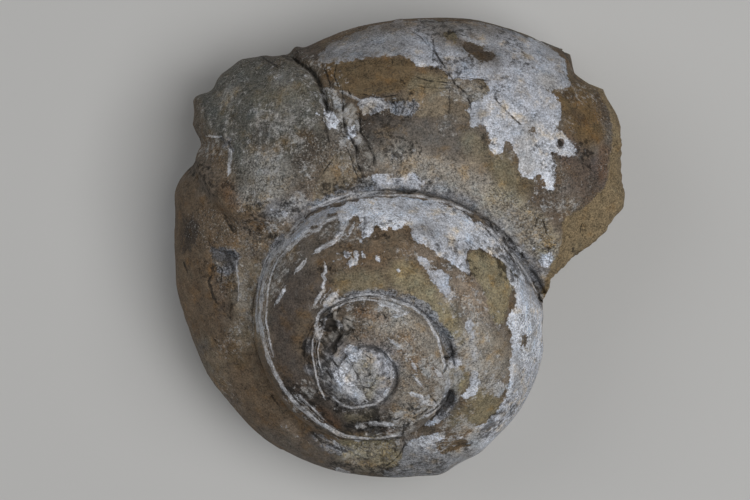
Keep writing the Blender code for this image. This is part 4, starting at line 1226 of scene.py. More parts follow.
@dataclass
class Paint:
    """What the stone's material reads at each point: colours, and distances into each kind of mark."""

    most: float = 6.0
    drift: Grain = Grain(30.0, 41.0)
    drift_range: Range = (-0.5, 0.5)
    drift_share: float = 0.7
    stroke_wander: float = 1.6
    line_reach: Range = (-1.0, -0.55)
    line_end: float = 0.12
    crack_share: float = 0.72
    crack_wander: float = 0.35
    rim_wander: float = 0.3
    suture_wander: float = 0.25
    patch_wander: float = 0.5
    loose_wander: float = 1.0
    least_speckle: float = 0.33
    least_flakes: float = 0.08
    hidden_ridge: float = 0.35
    seen_sediment: float = 0.25
    sediment_depth: float = 2.0

    def colours(
        self, surface: Surface, ground: Pigment, laid: tuple[Stroke, ...], hidden: Pigment
    ) -> np.ndarray:
        """Colour laid on with strokes.

        Args:
            surface: what is painted.
            ground: the colour under the strokes.
            laid: the strokes, the first lowest.
            hidden: the colour that mixes into the ground in clouds.

        Returns:
            Red, green, blue and 1 at each point.
        """
        drift = ramp(*self.drift_range, self.drift.at(surface.points))[:, None]
        colour = np.array(ground.value) * (1.0 - self.drift_share * drift)
        colour = colour + np.array(hidden.value) * self.drift_share * drift
        wave = self.stroke_wander * surface.wobble
        for stroke in laid:
            cover = (surface.shown * stroke.cover(surface.places, wave))[:, None]
            colour = colour * (1.0 - cover) + np.array(stroke.pigment.value) * cover
        return np.concatenate([colour, np.ones((len(colour), 1))], axis=1)

    def amount(self, surface: Surface, brushed: tuple[Touch, ...], least: float = 0.0) -> np.ndarray:
        """The amount of something that is brushed on the seen side, and its least amount elsewhere."""
        seen = touched(surface.places, surface.wobble, brushed, least)
        return surface.shown * seen + (1.0 - surface.shown) * least

    def mark(self, surface: Surface, outlines: tuple[Outline, ...], wander: float) -> np.ndarray:
        """Distance into a mark that is drawn on the seen side only.

        Args:
            surface: what it is drawn on.
            outlines: the mark's outlines.
            wander: how much its edge strays.

        Returns:
            Millimetres, negative outside it.
        """
        distance = CHART.inside_any(surface.places, outlines) + wander * surface.wobble
        return surface.shown * np.clip(distance, -self.most, self.most) - (1.0 - surface.shown) * self.most

    def drawn(
        self, surface: Surface, lines: tuple[tuple[Outline, float], ...], waver: float
    ) -> tuple[np.ndarray, np.ndarray]:
        """Thin lines, told by the side offset from the nearest one, so that they stay sharp between points.

        Args:
            surface: what they are drawn on.
            lines: the lines with their half widths.
            waver: how much they wander.

        Returns:
            The offset from the nearest line, and its half width, which falls below nothing past its ends.
        """
        offset, half = (np.full(len(surface.points), side * self.most) for side in (1.0, -1.0))
        deepest = half.copy()
        for line, half_width in lines:
            beside = CHART.beside(surface.places, line) + waver * surface.wobble
            depth = half_width - np.abs(beside)
            nearer = depth > deepest
            offset = np.where(nearer, beside, offset)
            half = np.where(nearer, half_width, half)
            deepest = np.maximum(deepest, depth)
        near = surface.shown * ramp(*self.line_reach, deepest)
        return np.clip(offset, -self.most, self.most), (half + self.line_end) * near - self.line_end

    def sediment(self, surface: Surface) -> np.ndarray:
        """Distance into the bare sediment: drawn where it is seen, all of the break where it is not.

        Args:
            surface: what is painted.

        Returns:
            Millimetres, negative outside it.
        """
        drawn = CHART.inside_any(surface.places, SEDIMENT_STRIP) + self.patch_wander * surface.wobble
        hidden = self.sediment_depth * (2.0 * surface.broken - 1.0)
        return np.where(surface.shown > self.seen_sediment, drawn, hidden).clip(-self.most, self.most)

    def layers(self, surface: Surface) -> dict[str, np.ndarray]:
        """Everything that the material reads.

        Args:
            surface: what is painted.

        Returns:
            Layers by name: four numbers a point for a colour, one for a distance or a share.
        """
        cracked = tuple((line, self.crack_share * half) for line, half, _ in CRACKS)
        crack, crack_half = self.drawn(surface, cracked, self.crack_wander)
        rim, rim_half = self.drawn(surface, PALE_LINES, self.rim_wander)
        suture = surface.suture + self.suture_wander * surface.wobble
        marks = {
            "ochre": (OCHRE_PATCH, self.patch_wander),
            "dark": (DARK_PATCHES, self.loose_wander),
            "tan": (SMOOTH_TAN, self.patch_wander),
            "olive": (OLIVE_PATCH, self.patch_wander),
            "hollow_shade": (HOLLOWS, self.loose_wander),
            "slate_patch": (SLATE_PATCHES, self.patch_wander),
        }
        return {
            "ground": self.colours(surface, Pigment.TAN_BROWN, GROUND, Pigment.GREY_BROWN),
            "shell_colour": self.colours(surface, Pigment.CHALK, SHELL_SHADES, Pigment.SHELL_GREY),
            "shell": np.clip(REMNANTS.into(surface), -self.most, self.most),
            **{name: self.mark(surface, *mark) for name, mark in marks.items()},
            "crack": crack,
            "crack_half": crack_half,
            "rim": rim,
            "rim_half": rim_half,
            "suture": np.clip(suture, -self.most, self.most),
            "sediment": self.sediment(surface),
            "rough": surface.rough,
            "speckle": self.amount(surface, SPECKLED, self.least_speckle),
            "flakes": self.amount(surface, FLAKY, self.least_flakes),
            "dust": self.amount(surface, DUSTY),
            "stain": self.amount(surface, STAINED),
            "ridge": self.hidden_ridge * (1.0 - surface.shown),
            "cleft": 1.0 - self.amount(surface, FAINT_SUTURE),
            "slate": self.amount(surface, SLATE_SUTURE),
        }


# --- Finish ----------------------------------------------------------------------------------


class Texture(Enum):
    """Noises on the stone: wavelength in millimetres, octaves, strength of the finer ones, and seed."""

    EDGE_NIBBLES = (0.9, 4.0, 0.75, 3.0)
    EDGE_BAYS = (2.8, 3.0, 0.7, 5.0)
    CLOUDS = (3.0, 6.0, 0.7, 7.0)
    BLOTCHES = (1.1, 4.0, 0.7, 8.0)
    FINE_GRAIN = (0.42, 3.0, 0.8, 9.0)
    WARMTH = (4.5, 5.0, 0.65, 10.0)
    FLAKE_DRIFT_X = (0.8, 2.0, 0.6, 41.0)
    FLAKE_DRIFT_Y = (0.8, 2.0, 0.6, 43.0)
    FLAKE_DRIFT_Z = (0.8, 2.0, 0.6, 44.0)
    FLAKES = (1.8, 5.0, 0.72, 42.0)
    LONG_HAIRS = (3.6, 4.0, 0.62, 51.0)
    SHORT_HAIRS = (2.1, 4.0, 0.62, 52.0)
    HAIR_LENGTHS = (2.8, 3.0, 0.6, 53.0)
    STRATA = (0.5, 4.0, 0.7, 0.0)
    PALE_GRAINS = (0.48, 3.0, 0.7, 15.0)
    DARK_GRAINS = (0.55, 3.0, 0.7, 22.0)
    GRAIN_PATCHES = (2.6, 3.0, 0.6, 25.0)
    LINE_STRAY = (0.9, 3.0, 0.7, 71.0)
    LINE_SWELL = (1.3, 4.0, 0.75, 72.0)
    DUST_FILM = (1.5, 5.0, 0.74, 81.0)
    STAIN_FILM = (1.5, 5.0, 0.74, 85.0)
    SHELL_WEAR = (1.5, 6.0, 0.8, 28.0)
    SLATE_BITS = (0.8, 4.0, 0.75, 61.0)
    PORES = (1.0, 2.0, 0.5, 33.0)
    CRACK_FADING = (1.7, 3.0, 0.7, 83.0)
    SUTURE_STRAY = (1.2, 4.0, 0.7, 12.0)
    SUTURE_SLATE = (1.6, 4.0, 0.7, 19.0)
    RIDGE_GAPS = (3.4, 4.0, 0.65, 18.0)
    SHEEN = (2.0, 3.0, 0.6, 4.0)
    STONE_SKIN = (0.7, 5.0, 0.75, 1.0)


@dataclass
class Graph:
    """A node tree with short ways to add to it.

    Each value that a method is given is a constant or another node's socket.
    """

    tree: Nodes
    seed_step: ClassVar[Place] = (0.013, 0.007, -0.011)

    def add(self, kind: str, **settings: object) -> bpy.types.Node:
        """A new node.

        Args:
            kind: its type.
            settings: its properties by name.

        Returns:
            The node.
        """
        node = self.tree.nodes.new(kind)
        for name, value in settings.items():
            setattr(node, name, value)
        return node

    def feed(self, socket: Socket, value: object) -> None:
        """Links another socket to a socket, or gives it a constant.

        Args:
            socket: the input.
            value: what it gets.
        """
        if isinstance(value, Socket):
            self.tree.links.new(value, socket)
        elif isinstance(value, tuple) and len(value) == 3 and socket.type == "RGBA":
            socket.default_value = (*value, 1.0)
        else:
            socket.default_value = value

    def math(self, operation: str, *values: object, clamp: bool = False) -> Socket:
        """The result of a sum.

        Args:
            operation: which sum.
            values: up to three of them.
            clamp: whether the result is kept between 0 and 1.

        Returns:
            The result.
        """
        node = self.add("ShaderNodeMath", operation=operation, use_clamp=clamp)
        for socket, value in zip(node.inputs, values):
            self.feed(socket, value)
        return node.outputs[0]

    def plus(self, first: object, second: object) -> Socket:
        """Two values added."""
        return self.math("ADD", first, second)

    def minus(self, first: object, second: object) -> Socket:
        """A value less another."""
        return self.math("SUBTRACT", first, second)

    def times(self, first: object, second: object) -> Socket:
        """Two values multiplied."""
        return self.math("MULTIPLY", first, second)

    def line(self, value: object, slope: object, start: object) -> Socket:
        """A value times a slope, plus a start."""
        return self.math("MULTIPLY_ADD", value, slope, start)

    def rest(self, share: object) -> Socket:
        """What is left of 1."""
        return self.minus(1.0, share)

    def most(self, first: object, second: object) -> Socket:
        """The greater of two values."""
        return self.math("MAXIMUM", first, second)

    def size(self, value: object) -> Socket:
        """A value without its sign."""
        return self.math("ABSOLUTE", value)

    def rise(self, low: object, high: object, value: object) -> Socket:
        """A smooth rise.

        Args:
            low: where it is 0.
            high: where it is 1.
            value: what is compared with them.

        Returns:
            The share risen.
        """
        node = self.add("ShaderNodeMapRange", interpolation_type="SMOOTHSTEP")
        for name, given in (("Value", value), ("From Min", low), ("From Max", high)):
            self.feed(node.inputs[name], given)
        return node.outputs[0]

    def mix(self, share: object, under: object, over: object, blend: str = "MIX") -> Socket:
        """One colour over another.

        Args:
            share: how much of the upper one shows.
            under: the lower one.
            over: the upper one.
            blend: how it is laid on.

        Returns:
            The mixed colour.
        """
        node = self.add("ShaderNodeMix", data_type="RGBA", blend_type=blend)
        colours = [socket for socket in node.inputs if socket.type == "RGBA"]
        for socket, value in zip((node.inputs["Factor"], *colours), (share, under, over)):
            self.feed(socket, value)
        return next(socket for socket in node.outputs if socket.type == "RGBA")

    def attribute(self, name: str, colour: bool = False) -> Socket:
        """A layer of the mesh."""
        node = self.add("ShaderNodeAttribute", attribute_name=name)
        return node.outputs["Color" if colour else "Fac"]

    def noise(self, texture: Texture, at: Socket | None = None) -> Socket:
        """Noise, about 0 to 1.

        Args:
            texture: which noise.
            at: the place it is read at, in metres, where that is not the object's own.

        Returns:
            Its value.
        """
        length, detail, rough, seed = texture.value
        node = self.add("ShaderNodeTexNoise", noise_dimensions="3D")
        self.feed(node.inputs["Vector"], self.coordinates(seed) if at is None else at)
        self.feed(node.inputs["Scale"], 1.0 / (MM * length))
        self.feed(node.inputs["Detail"], detail)
        self.feed(node.inputs["Roughness"], rough)
        return node.outputs["Fac"]

    def swing(self, texture: Texture) -> Socket:
        """Noise about nothing, half its range to each side."""
        return self.minus(self.noise(texture), 0.5)

    def vector(self, operation: str, **values: object) -> Socket:
        """The result of a sum on vectors.

        Args:
            operation: which sum.
            values: its inputs, by letter or name.

        Returns:
            The result.
        """
        node = self.add("ShaderNodeVectorMath", operation=operation)
        order = {"a": 0, "b": 1, "c": 2, "scale": "Scale"}
        for name, value in values.items():
            self.feed(node.inputs[order[name]], value)
        return node.outputs[0]

    def coordinates(self, seed: float) -> Socket:
        """Object coordinates, moved by a seed."""
        place = self.add("ShaderNodeTexCoord").outputs["Object"]
        return self.vector("ADD", a=place, b=tuple(seed * step for step in self.seed_step))

    def joined(self, values: tuple[object, object, object]) -> Socket:
        """A vector from its three parts.

        Args:
            values: the parts.

        Returns:
            The vector.
        """
        node = self.add("ShaderNodeCombineXYZ")
        for socket, value in zip(node.inputs, values):
            self.feed(socket, value)
        return node.outputs[0]

    def placed(self, tree: Nodes, **values: object) -> bpy.types.Node:
        """A node group.

        Args:
            tree: the group.
            values: its inputs by name, with underscores for spaces.

        Returns:
            Its node.
        """
        node = self.add("ShaderNodeGroup", node_tree=tree)
        for name, value in values.items():
            self.feed(node.inputs[name.replace("_", " ")], value)
        return node


class Group(Graph):
    """A node group with named sockets, while it is made."""

    def __init__(self, name: str, **inputs: float | Colour) -> None:
        """Makes it, still without outputs.

        Args:
            name: its name.
            inputs: default values by socket name, with underscores for spaces; colours for colour sockets.
        """
        super().__init__(bpy.data.node_groups.new(name, "ShaderNodeTree"))
        for title, value in inputs.items():
            socket = self.socket(title, "INPUT", isinstance(value, tuple))
            socket.default_value = (*value, 1.0) if isinstance(value, tuple) else value
        self.given = self.add("NodeGroupInput").outputs

    def socket(self, title: str, way: str, colour: bool) -> bpy.types.NodeTreeInterfaceSocket:
        """A new socket of the group."""
        kind = "NodeSocketColor" if colour else "NodeSocketFloat"
        return self.tree.interface.new_socket(name=title.replace("_", " "), in_out=way, socket_type=kind)

    def giving(self, colour: bool = False, **results: Socket) -> Nodes:
        """Ends it with its outputs.

        Args:
            colour: whether they are colours.
            results: what each gives, by name, with underscores for spaces.

        Returns:
            The finished group.
        """
        for title in results:
            self.socket(title, "OUTPUT", colour)
        end = self.add("NodeGroupOutput")
        for title, result in results.items():
            self.feed(end.inputs[title.replace("_", " ")], result)
        return self.tree


@dataclass
class Effects:
    """The node groups that the stone's layers share, each built once."""

    edge_bay: float = 1.4
    edge_scale: float = 4.0
    mottle_gain: float = 3.0
    blotch_share: float = 0.8
    fine_share: float = 2.1
    darkest: float = 0.25
    warmth_range: Range = (0.02, 0.35)
    warm_tint: Colour = (1.10, 0.93, 0.70)
    cool_tint: Colour = (0.92, 1.0, 1.08)
    flake_drift: float = 1.6
    flake_limits: Slope = (-0.24, 0.70)
    flake_edge: float = 0.05
    long_hair: Range = (0.004, 0.016)
    short_hair: Range = (0.004, 0.022)
    hair_limits: Slope = (-0.3, 0.68)
    hair_edge: float = 0.06
    strata_drawn_out: float = 0.16
    patch_limits: Slope = (-0.22, 0.11)
    grain_limits: Slope = (-0.16, 0.64)
    grain_edge: float = 0.24

    def __post_init__(self) -> None:
        """Builds the groups."""
        self.edge = self.ragged_edge()
        self.mottle = self.mottling()
        self.grains = self.coarse_grains()
        self.flakes = self.pale_flakes()
        self.layers = self.strata()
        self.hairs = self.hairlines()

    def ragged_edge(self) -> Nodes:
        """Turns a distance into a mark into a mask with a finely ragged edge.

        Returns:
            The group.
        """
        group = Group("Ragged edge", Distance=0.0, Raggedness=0.3, Softness=0.1)
        bays = group.line(group.noise(Texture.EDGE_BAYS), self.edge_bay, -self.edge_bay / 2)
        shift = group.plus(group.swing(Texture.EDGE_NIBBLES), bays)
        shift = group.times(shift, group.given["Raggedness"])
        moved = group.line(shift, self.edge_scale, group.given["Distance"])
        soft = group.given["Softness"]
        return group.giving(Mask=group.rise(group.times(soft, -1.0), soft, moved))

    def mottling(self) -> Nodes:
        """Varies a colour from light to dark, and to warm and cool, in clouds and fine grain.

        Returns:
            The group.
        """
        group = Group("Mottling", Base_Colour=(0.5, 0.5, 0.5), Clouds=0.3, Grain=0.3)
        clouding = group.times(group.given["Clouds"], self.mottle_gain)
        graining = group.times(group.given["Grain"], self.mottle_gain)
        light = group.line(group.swing(Texture.CLOUDS), clouding, 1.0)
        light = group.line(group.swing(Texture.BLOTCHES), group.times(graining, self.blotch_share), light)
        light = group.line(group.swing(Texture.FINE_GRAIN), group.times(graining, self.fine_share), light)
        shaded = group.vector("SCALE", a=group.given["Base Colour"], scale=group.most(light, self.darkest))
        warmth = group.times(group.swing(Texture.WARMTH), clouding)
        warm = group.rise(*self.warmth_range, warmth)
        cool = group.rise(*self.warmth_range, group.times(warmth, -1.0))
        tinted = group.mix(warm, shaded, self.warm_tint, "MULTIPLY")
        return group.giving(colour=True, Mottled_Colour=group.mix(cool, tinted, self.cool_tint, "MULTIPLY"))

    def pale_flakes(self) -> Nodes:
        """Small pale flakes with ragged edges, more of them where the amount is greater.

        Returns:
            The group.
        """
        group = Group("Pale flakes", Amount=0.3)
        drifts = (Texture.FLAKE_DRIFT_X, Texture.FLAKE_DRIFT_Y, Texture.FLAKE_DRIFT_Z)
        drift = group.joined(tuple(group.noise(texture) for texture in drifts))
        reach = (self.flake_drift * MM,) * 3
        own = group.coordinates(Texture.FLAKES.value[-1])
        spots = group.noise(Texture.FLAKES, at=group.vector("MULTIPLY_ADD", a=drift, b=reach, c=own))
        threshold = group.line(group.given["Amount"], *self.flake_limits)
        return group.giving(Flakes=group.rise(threshold, group.plus(threshold, self.flake_edge), spots))

    def hairlines(self) -> Nodes:
        """Thin winding lines, broken into short lengths.

        Returns:
            The group.
        """
        group = Group("Hairlines", Amount=0.5)
        long = group.rest(group.rise(*self.long_hair, group.size(group.swing(Texture.LONG_HAIRS))))
        short = group.rest(group.rise(*self.short_hair, group.size(group.swing(Texture.SHORT_HAIRS))))
        threshold = group.line(group.given["Amount"], *self.hair_limits)
        top = group.plus(threshold, self.hair_edge)
        lengths = group.rise(threshold, top, group.noise(Texture.HAIR_LENGTHS))
        return group.giving(Lines=group.times(group.most(long, short), lengths))

    def strata(self) -> Nodes:
        """Thin broken lines along the lines of equal distance, the distance given in millimetres.

        Returns:
            The group.
        """
        group = Group("Strata", Distance=0.0)
        point = group.add("ShaderNodeSeparateXYZ")
        group.feed(point.inputs[0], group.coordinates(Texture.STRATA.value[-1]))
        along = [group.times(axis, self.strata_drawn_out) for axis in point.outputs[:2]]
        place = group.joined((group.times(group.given["Distance"], MM), *along))
        return group.giving(Lines=group.noise(Texture.STRATA, at=place))

    def coarse_grains(self) -> Nodes:
        """Masks of pale and of dark grains, and their height, where an amount lets them show.

        Returns:
            The group.
        """
        group = Group("Coarse grains", Amount=0.5)
        patches = group.line(group.noise(Texture.GRAIN_PATCHES), *self.patch_limits)
        threshold = group.plus(group.line(group.given["Amount"], *self.grain_limits), patches)
        upper = group.plus(threshold, self.grain_edge)
        pale = group.rise(threshold, upper, group.noise(Texture.PALE_GRAINS))
        dark = group.rise(threshold, upper, group.noise(Texture.DARK_GRAINS))
        height = group.times(group.minus(pale, dark), group.given["Amount"])
        return group.giving(Pale=pale, Dark=dark, Height=height)


@dataclass(frozen=True)
class Coat:
    """A coat of colour: how well it covers, how ragged and soft its edge is, its clouds and its grain."""

    colour: Colour
    cover: float = 1.0
    ragged: float = 0.3
    soft: float = 0.35
    clouds: float = 0.6
    grain: float = 0.5


@dataclass(frozen=True)
class ThinLine:
    """A drawn line's edge: how far it strays in millimetres, how much its width varies, how soft it is."""

    wander: float
    swelling: float
    softness: float


@dataclass
class Coater:
    """Lays coats of colour in a material's graph."""

    graph: Graph
    effects: Effects
    film_limits: Slope = (-0.37, 0.56)
    film_edge: float = 0.16
    film_start: float = 8.0
    film_cover: float = 0.8

    def mottled(self, coat: Coat, colour: object = None, grain: object = None) -> Socket:
        """A coat's colour with its clouds and grain.

        Args:
            coat: the coat.
            colour: another colour in place of its own.
            grain: another grain in place of its own.

        Returns:
            The colour.
        """
        base = coat.colour if colour is None else colour
        fine = coat.grain if grain is None else grain
        node = self.graph.placed(self.effects.mottle, Base_Colour=base, Clouds=coat.clouds, Grain=fine)
        return node.outputs[0]

    def mask(self, layer: str, coat: Coat) -> Socket:
        """Where a coat lies.

        Args:
            layer: the layer of distances into the coat.
            coat: the coat.

        Returns:
            Its mask, with a ragged edge.
        """
        depth = self.graph.attribute(layer)
        node = self.graph.placed(self.effects.edge, Distance=depth, Raggedness=coat.ragged, Softness=coat.soft)
        return node.outputs[0]

    def coated(self, under: Socket, layer: str, coat: Coat, over: Socket | None = None) -> Socket:
        """A coat laid where its layer says.

        Args:
            under: the colour below.
            layer: the layer of distances into the coat.
            coat: the coat.
            over: its colour, where that is not just its own, mottled.

        Returns:
            The colour with the coat.
        """
        share = self.graph.times(self.mask(layer, coat), coat.cover)
        return self.graph.mix(share, under, self.mottled(coat) if over is None else over)

    def line(self, layer: str, edge: ThinLine) -> Socket:
        """The mask of thin drawn lines, thinner here and thicker there.

        Args:
            layer: the layer of their offsets, beside which their half widths lie.
            edge: how their edges run.

        Returns:
            The mask.
        """
        graph = self.graph
        stray = graph.times(graph.swing(Texture.LINE_STRAY), edge.wander)
        away = graph.size(graph.plus(graph.attribute(layer), stray))
        swell = graph.line(graph.swing(Texture.LINE_SWELL), 2.0 * edge.swelling, 1.0)
        half = graph.times(graph.attribute(f"{layer}_half"), swell)
        return graph.rise(-edge.softness, edge.softness, graph.minus(half, away))

    def film(self, layer: str, texture: Texture) -> Socket:
        """A broken film that covers about the share that its layer gives.

        Args:
            layer: the layer of shares.
            texture: the noise that breaks it up.

        Returns:
            The mask.
        """
        graph = self.graph
        amount = graph.attribute(layer)
        low = graph.line(amount, *self.film_limits)
        broken = graph.rise(low, graph.plus(low, self.film_edge), graph.noise(texture))
        any_here = graph.math("MULTIPLY", amount, self.film_start, clamp=True)
        return graph.times(broken, graph.times(any_here, self.film_cover))

    def band(self, low: Range, high: Range, value: Socket) -> Socket:
        """Full between two values: a rise over the first range, and a fall from the second."""
        return self.graph.times(self.graph.rise(*low, value), self.graph.rise(*high, value))


@dataclass(frozen=True)
class StoneFinish:
    """The stone's finish: its coats of colour from the bare stone up, its sheen and its fine relief."""

    # the dark grain's colour is also painted shade in the hollows and dips; the pale grain's is painted light
    # on bumps
    pale_grain_and_light: Colour = (0.60, 0.58, 0.54)
    dark_grain_and_shade: Colour = (0.050, 0.043, 0.037)
    # painted shade in the cracks
    crack_shade: Colour = (0.018, 0.015, 0.012)
    # the suture's own dark line, with painted shade in its groove
    suture_line_and_shade: Colour = (0.030, 0.030, 0.032)
    stain_tint: Colour = (0.06, 0.05, 0.04)
    ground: Coat = Coat(Pigment.TAN_BROWN.value, clouds=0.62)
    ground_grain: Slope = (0.5, 0.36)
    patches: tuple[tuple[str, Coat], ...] = (
        ("tan", Coat(Pigment.TAN.value, 0.85, 0.3)),
        ("olive", Coat(Pigment.OLIVE.value, 0.8, 0.35)),
        ("ochre", Coat(Pigment.OCHRE.value, 0.85, 0.4)),
        ("dark", Coat(Pigment.MANGANESE.value, 0.72, 0.6)),
    )
    hair_amount: float = 0.5
    hair_cover: float = 0.45
    grain_showing: Range = (0.0, 0.9)
    grain_cover: float = 0.9
    # painted shade in the dips of the rough relief, and painted light on its bumps
    painted_shade_in_dips: Range = (0.05, 0.42)
    painted_shade_cover: float = 0.75
    painted_light_on_bumps: Range = (0.10, 0.45)
    painted_light_cover: float = 0.45
    flake: Coat = Coat((0.47, 0.465, 0.465), 0.8, clouds=0.5)
    shell: Coat = Coat(Pigment.CHALK.value, 0.97, 0.42, 0.14, 0.55)
    shell_grain: Slope = (0.5, 0.34)
    shell_hair_cover: float = 0.4
    shell_wear: Range = (0.52, 0.66)
    shell_margin: Range = (0.1, 2.2)
    shell_lost: Slope = (0.45, 0.28)
    dust: Coat = Coat((0.42, 0.405, 0.385), clouds=0.5, grain=0.7)
    slate: Coat = Coat((0.190, 0.196, 0.215), 0.88, 0.5, 0.4, 0.9, 1.3)
    slate_bits: Range = (0.52, 0.66)
    slate_bits_cover: float = 0.75
    rim: Coat = Coat((0.58, 0.585, 0.61), clouds=0.4)
    rim_line: ThinLine = ThinLine(0.55, 1.1, 0.16)
    rim_streaks: Range = (0.40, 0.54)
    rim_cover: Slope = (0.62, 0.3)
    # painted shade in the hollows
    hollow_shade: Coat = Coat(dark_grain_and_shade, 0.62, 0.85, 0.2)
    sediment: Coat = Coat(Pigment.SEDIMENT.value, 1.0, 0.3, 0.3, 0.38, 0.62)
    pores: Range = (0.66, 0.74)
    pore_cover: float = 0.6
    crack_line: ThinLine = ThinLine(0.35, 1.7, 0.09)
    crack_fading: Range = (0.35, 0.6)
    crack_cover: Slope = (0.6, 0.32)
    suture_stray: float = 1.0
    suture_slate: Coat = Coat(slate.colour, clouds=0.7, grain=0.9)
    suture_slate_from: Range = (-0.35, 0.1)
    suture_slate_gaps: Range = (0.34, 0.56)
    ridge: Coat = Coat(rim.colour, clouds=0.35)
    ridge_band: tuple[Range, Range] = ((-2.3, -1.5), (0.15, -0.2))
    ridge_streaks: Range = (0.42, 0.56)
    ridge_streak_cover: Slope = (0.75, 0.12)
    ridge_crest_at: float = 0.5
    ridge_crest: Range = (0.15, 0.45)
    ridge_crest_cover: float = 0.75
    ridge_gaps: Range = (0.30, 0.46)
    ridge_cover: Slope = (0.45, 0.5)
    cleft_band: tuple[Range, Range] = ((-0.1, 0.25), (1.9, 0.9))
    cleft_streaks: Range = (0.50, 0.62)
    cleft_streak_cover: Slope = (0.3, 0.4)
    cleft_at: float = 0.45
    cleft_line: Range = (0.12, 0.42)
    cleft_cover: Slope = (0.55, 0.15)
    roughness: float = 0.82
    shell_roughness: float = 0.62
    sheen_swing: float = 0.16
    sheen_start: float = 0.06
    specular: float = 0.35
    skin_height: float = 0.42
    smoother_shell: Slope = (-0.3, 1.0)
    grain_height: float = 0.16
    shell_height: float = 0.12
    bump_strength: float = 0.8

    def bare_stone(self, coats: Coater, speckle: Socket, hairs: Socket, grains: bpy.types.Node) -> Socket:
        """The stone without its shell, with painted shade in the dips of its rough relief and painted light on
        its bumps.

        Args:
            coats: lays the coats.
            speckle: how much grain shows.
            hairs: the mask of hairlines.
            grains: the node of the coarse grains.

        Returns:
            Its colour.
        """
        graph = coats.graph
        graining = graph.line(speckle, *self.ground_grain)
        colour = coats.mottled(self.ground, graph.attribute("ground", colour=True), graining)
        for layer, coat in self.patches:
            colour = coats.coated(colour, layer, coat)
        colour = graph.mix(graph.times(hairs, self.hair_cover), colour, self.dark_grain_and_shade)
        showing = graph.times(graph.rise(*self.grain_showing, speckle), self.grain_cover)
        for mask, shade in (("Pale", self.pale_grain_and_light), ("Dark", self.dark_grain_and_shade)):
            colour = graph.mix(graph.times(grains.outputs[mask], showing), colour, shade)
        # painted shade darkens the dips of the rough relief, and painted light makes its bumps paler
        rough = graph.attribute("rough")
        low = graph.times(graph.rise(*self.painted_shade_in_dips, graph.times(rough, -1.0)), self.painted_shade_cover)
        high = graph.times(graph.rise(*self.painted_light_on_bumps, rough), self.painted_light_cover)
        colour = graph.mix(high, graph.mix(low, colour, self.dark_grain_and_shade), self.pale_grain_and_light)
        flakes = graph.placed(coats.effects.flakes, Amount=graph.attribute("flakes")).outputs[0]
        return graph.mix(graph.times(flakes, self.flake.cover), colour, coats.mottled(self.flake))

    def with_shell(self, coats: Coater, under: Socket, speckle: Socket, hairs: Socket, shell: Socket) -> Socket:
        """The remnants of shell over the stone, worn through here and there, most of all near their edges.

        Args:
            coats: lays the coats.
            under: the stone's colour.
            speckle: how much grain shows.
            hairs: the mask of hairlines.
            shell: the mask of the remnants.

        Returns:
            The colour with them.
        """
        graph = coats.graph
        graining = graph.line(speckle, *self.shell_grain)
        over = coats.mottled(self.shell, graph.attribute("shell_colour", colour=True), graining)
        over = graph.mix(graph.times(hairs, self.shell_hair_cover), over, Pigment.GREY_BROWN.value)
        worn = graph.rise(*self.shell_wear, graph.noise(Texture.SHELL_WEAR))
        near_edge = graph.rest(graph.rise(*self.shell_margin, graph.attribute("shell")))
        lost = graph.times(worn, graph.line(near_edge, *self.shell_lost))
        return graph.mix(graph.times(shell, graph.minus(self.shell.cover, lost)), under, over)

    def with_films(self, coats: Coater, under: Socket) -> Socket:
        """Dust, water stains and slaty patches.

        Args:
            coats: lays the coats.
            under: the colour below.

        Returns:
            The colour with them.
        """
        graph = coats.graph
        colour = graph.mix(coats.film("dust", Texture.DUST_FILM), under, coats.mottled(self.dust))
        colour = graph.mix(coats.film("stain", Texture.STAIN_FILM), colour, self.stain_tint, "MULTIPLY")
        bits = graph.rise(*self.slate_bits, graph.noise(Texture.SLATE_BITS))
        bits = graph.times(bits, self.slate_bits_cover)
        slate = graph.mix(bits, coats.mottled(self.slate), self.rim.colour)
        return coats.coated(colour, "slate_patch", self.slate, slate)

    def with_suture(self, coats: Coater, under: Socket) -> Socket:
        """The suture's own dark line with painted shade in its groove, and the pale ridge beside it.

        Args:
            coats: lays the coats.
            under: the colour below.

        Returns:
            The colour with them.
        """
        graph = coats.graph
        stray = graph.line(graph.noise(Texture.SUTURE_STRAY), self.suture_stray, -self.suture_stray / 2)
        away = graph.plus(graph.attribute("suture"), stray)
        streaks = graph.placed(coats.effects.layers, Distance=away).outputs[0]
        cleft = graph.attribute("cleft")

        outside = graph.times(graph.attribute("slate"), graph.rise(*self.suture_slate_from, away))
        patchy = graph.rise(*self.suture_slate_gaps, graph.noise(Texture.SUTURE_SLATE))
        colour = graph.mix(graph.times(outside, patchy), under, coats.mottled(self.suture_slate))

        streaky = graph.line(graph.rise(*self.ridge_streaks, streaks), *self.ridge_streak_cover)
        from_crest = graph.size(graph.plus(away, self.ridge_crest_at))
        crest = graph.times(graph.rest(graph.rise(*self.ridge_crest, from_crest)), self.ridge_crest_cover)
        ridge = graph.most(graph.times(coats.band(*self.ridge_band, away), streaky), crest)
        gaps = graph.rise(*self.ridge_gaps, graph.noise(Texture.RIDGE_GAPS))
        ridge = graph.times(ridge, graph.line(gaps, *self.ridge_cover))
        ridge = graph.times(ridge, graph.attribute("ridge"))
        colour = graph.mix(ridge, colour, coats.mottled(self.ridge))

        # painted shade in the suture's groove as dark streaks, with the suture's own dark line
        dark = graph.times(coats.band(*self.cleft_band, away), graph.rise(*self.cleft_streaks, streaks))
        dark = graph.times(dark, graph.line(cleft, *self.cleft_streak_cover))
        from_line = graph.size(graph.minus(away, self.cleft_at))
        line = graph.rest(graph.rise(*self.cleft_line, from_line))
        line = graph.times(line, graph.line(cleft, *self.cleft_cover))
        return graph.mix(graph.most(dark, line), colour, self.suture_line_and_shade)

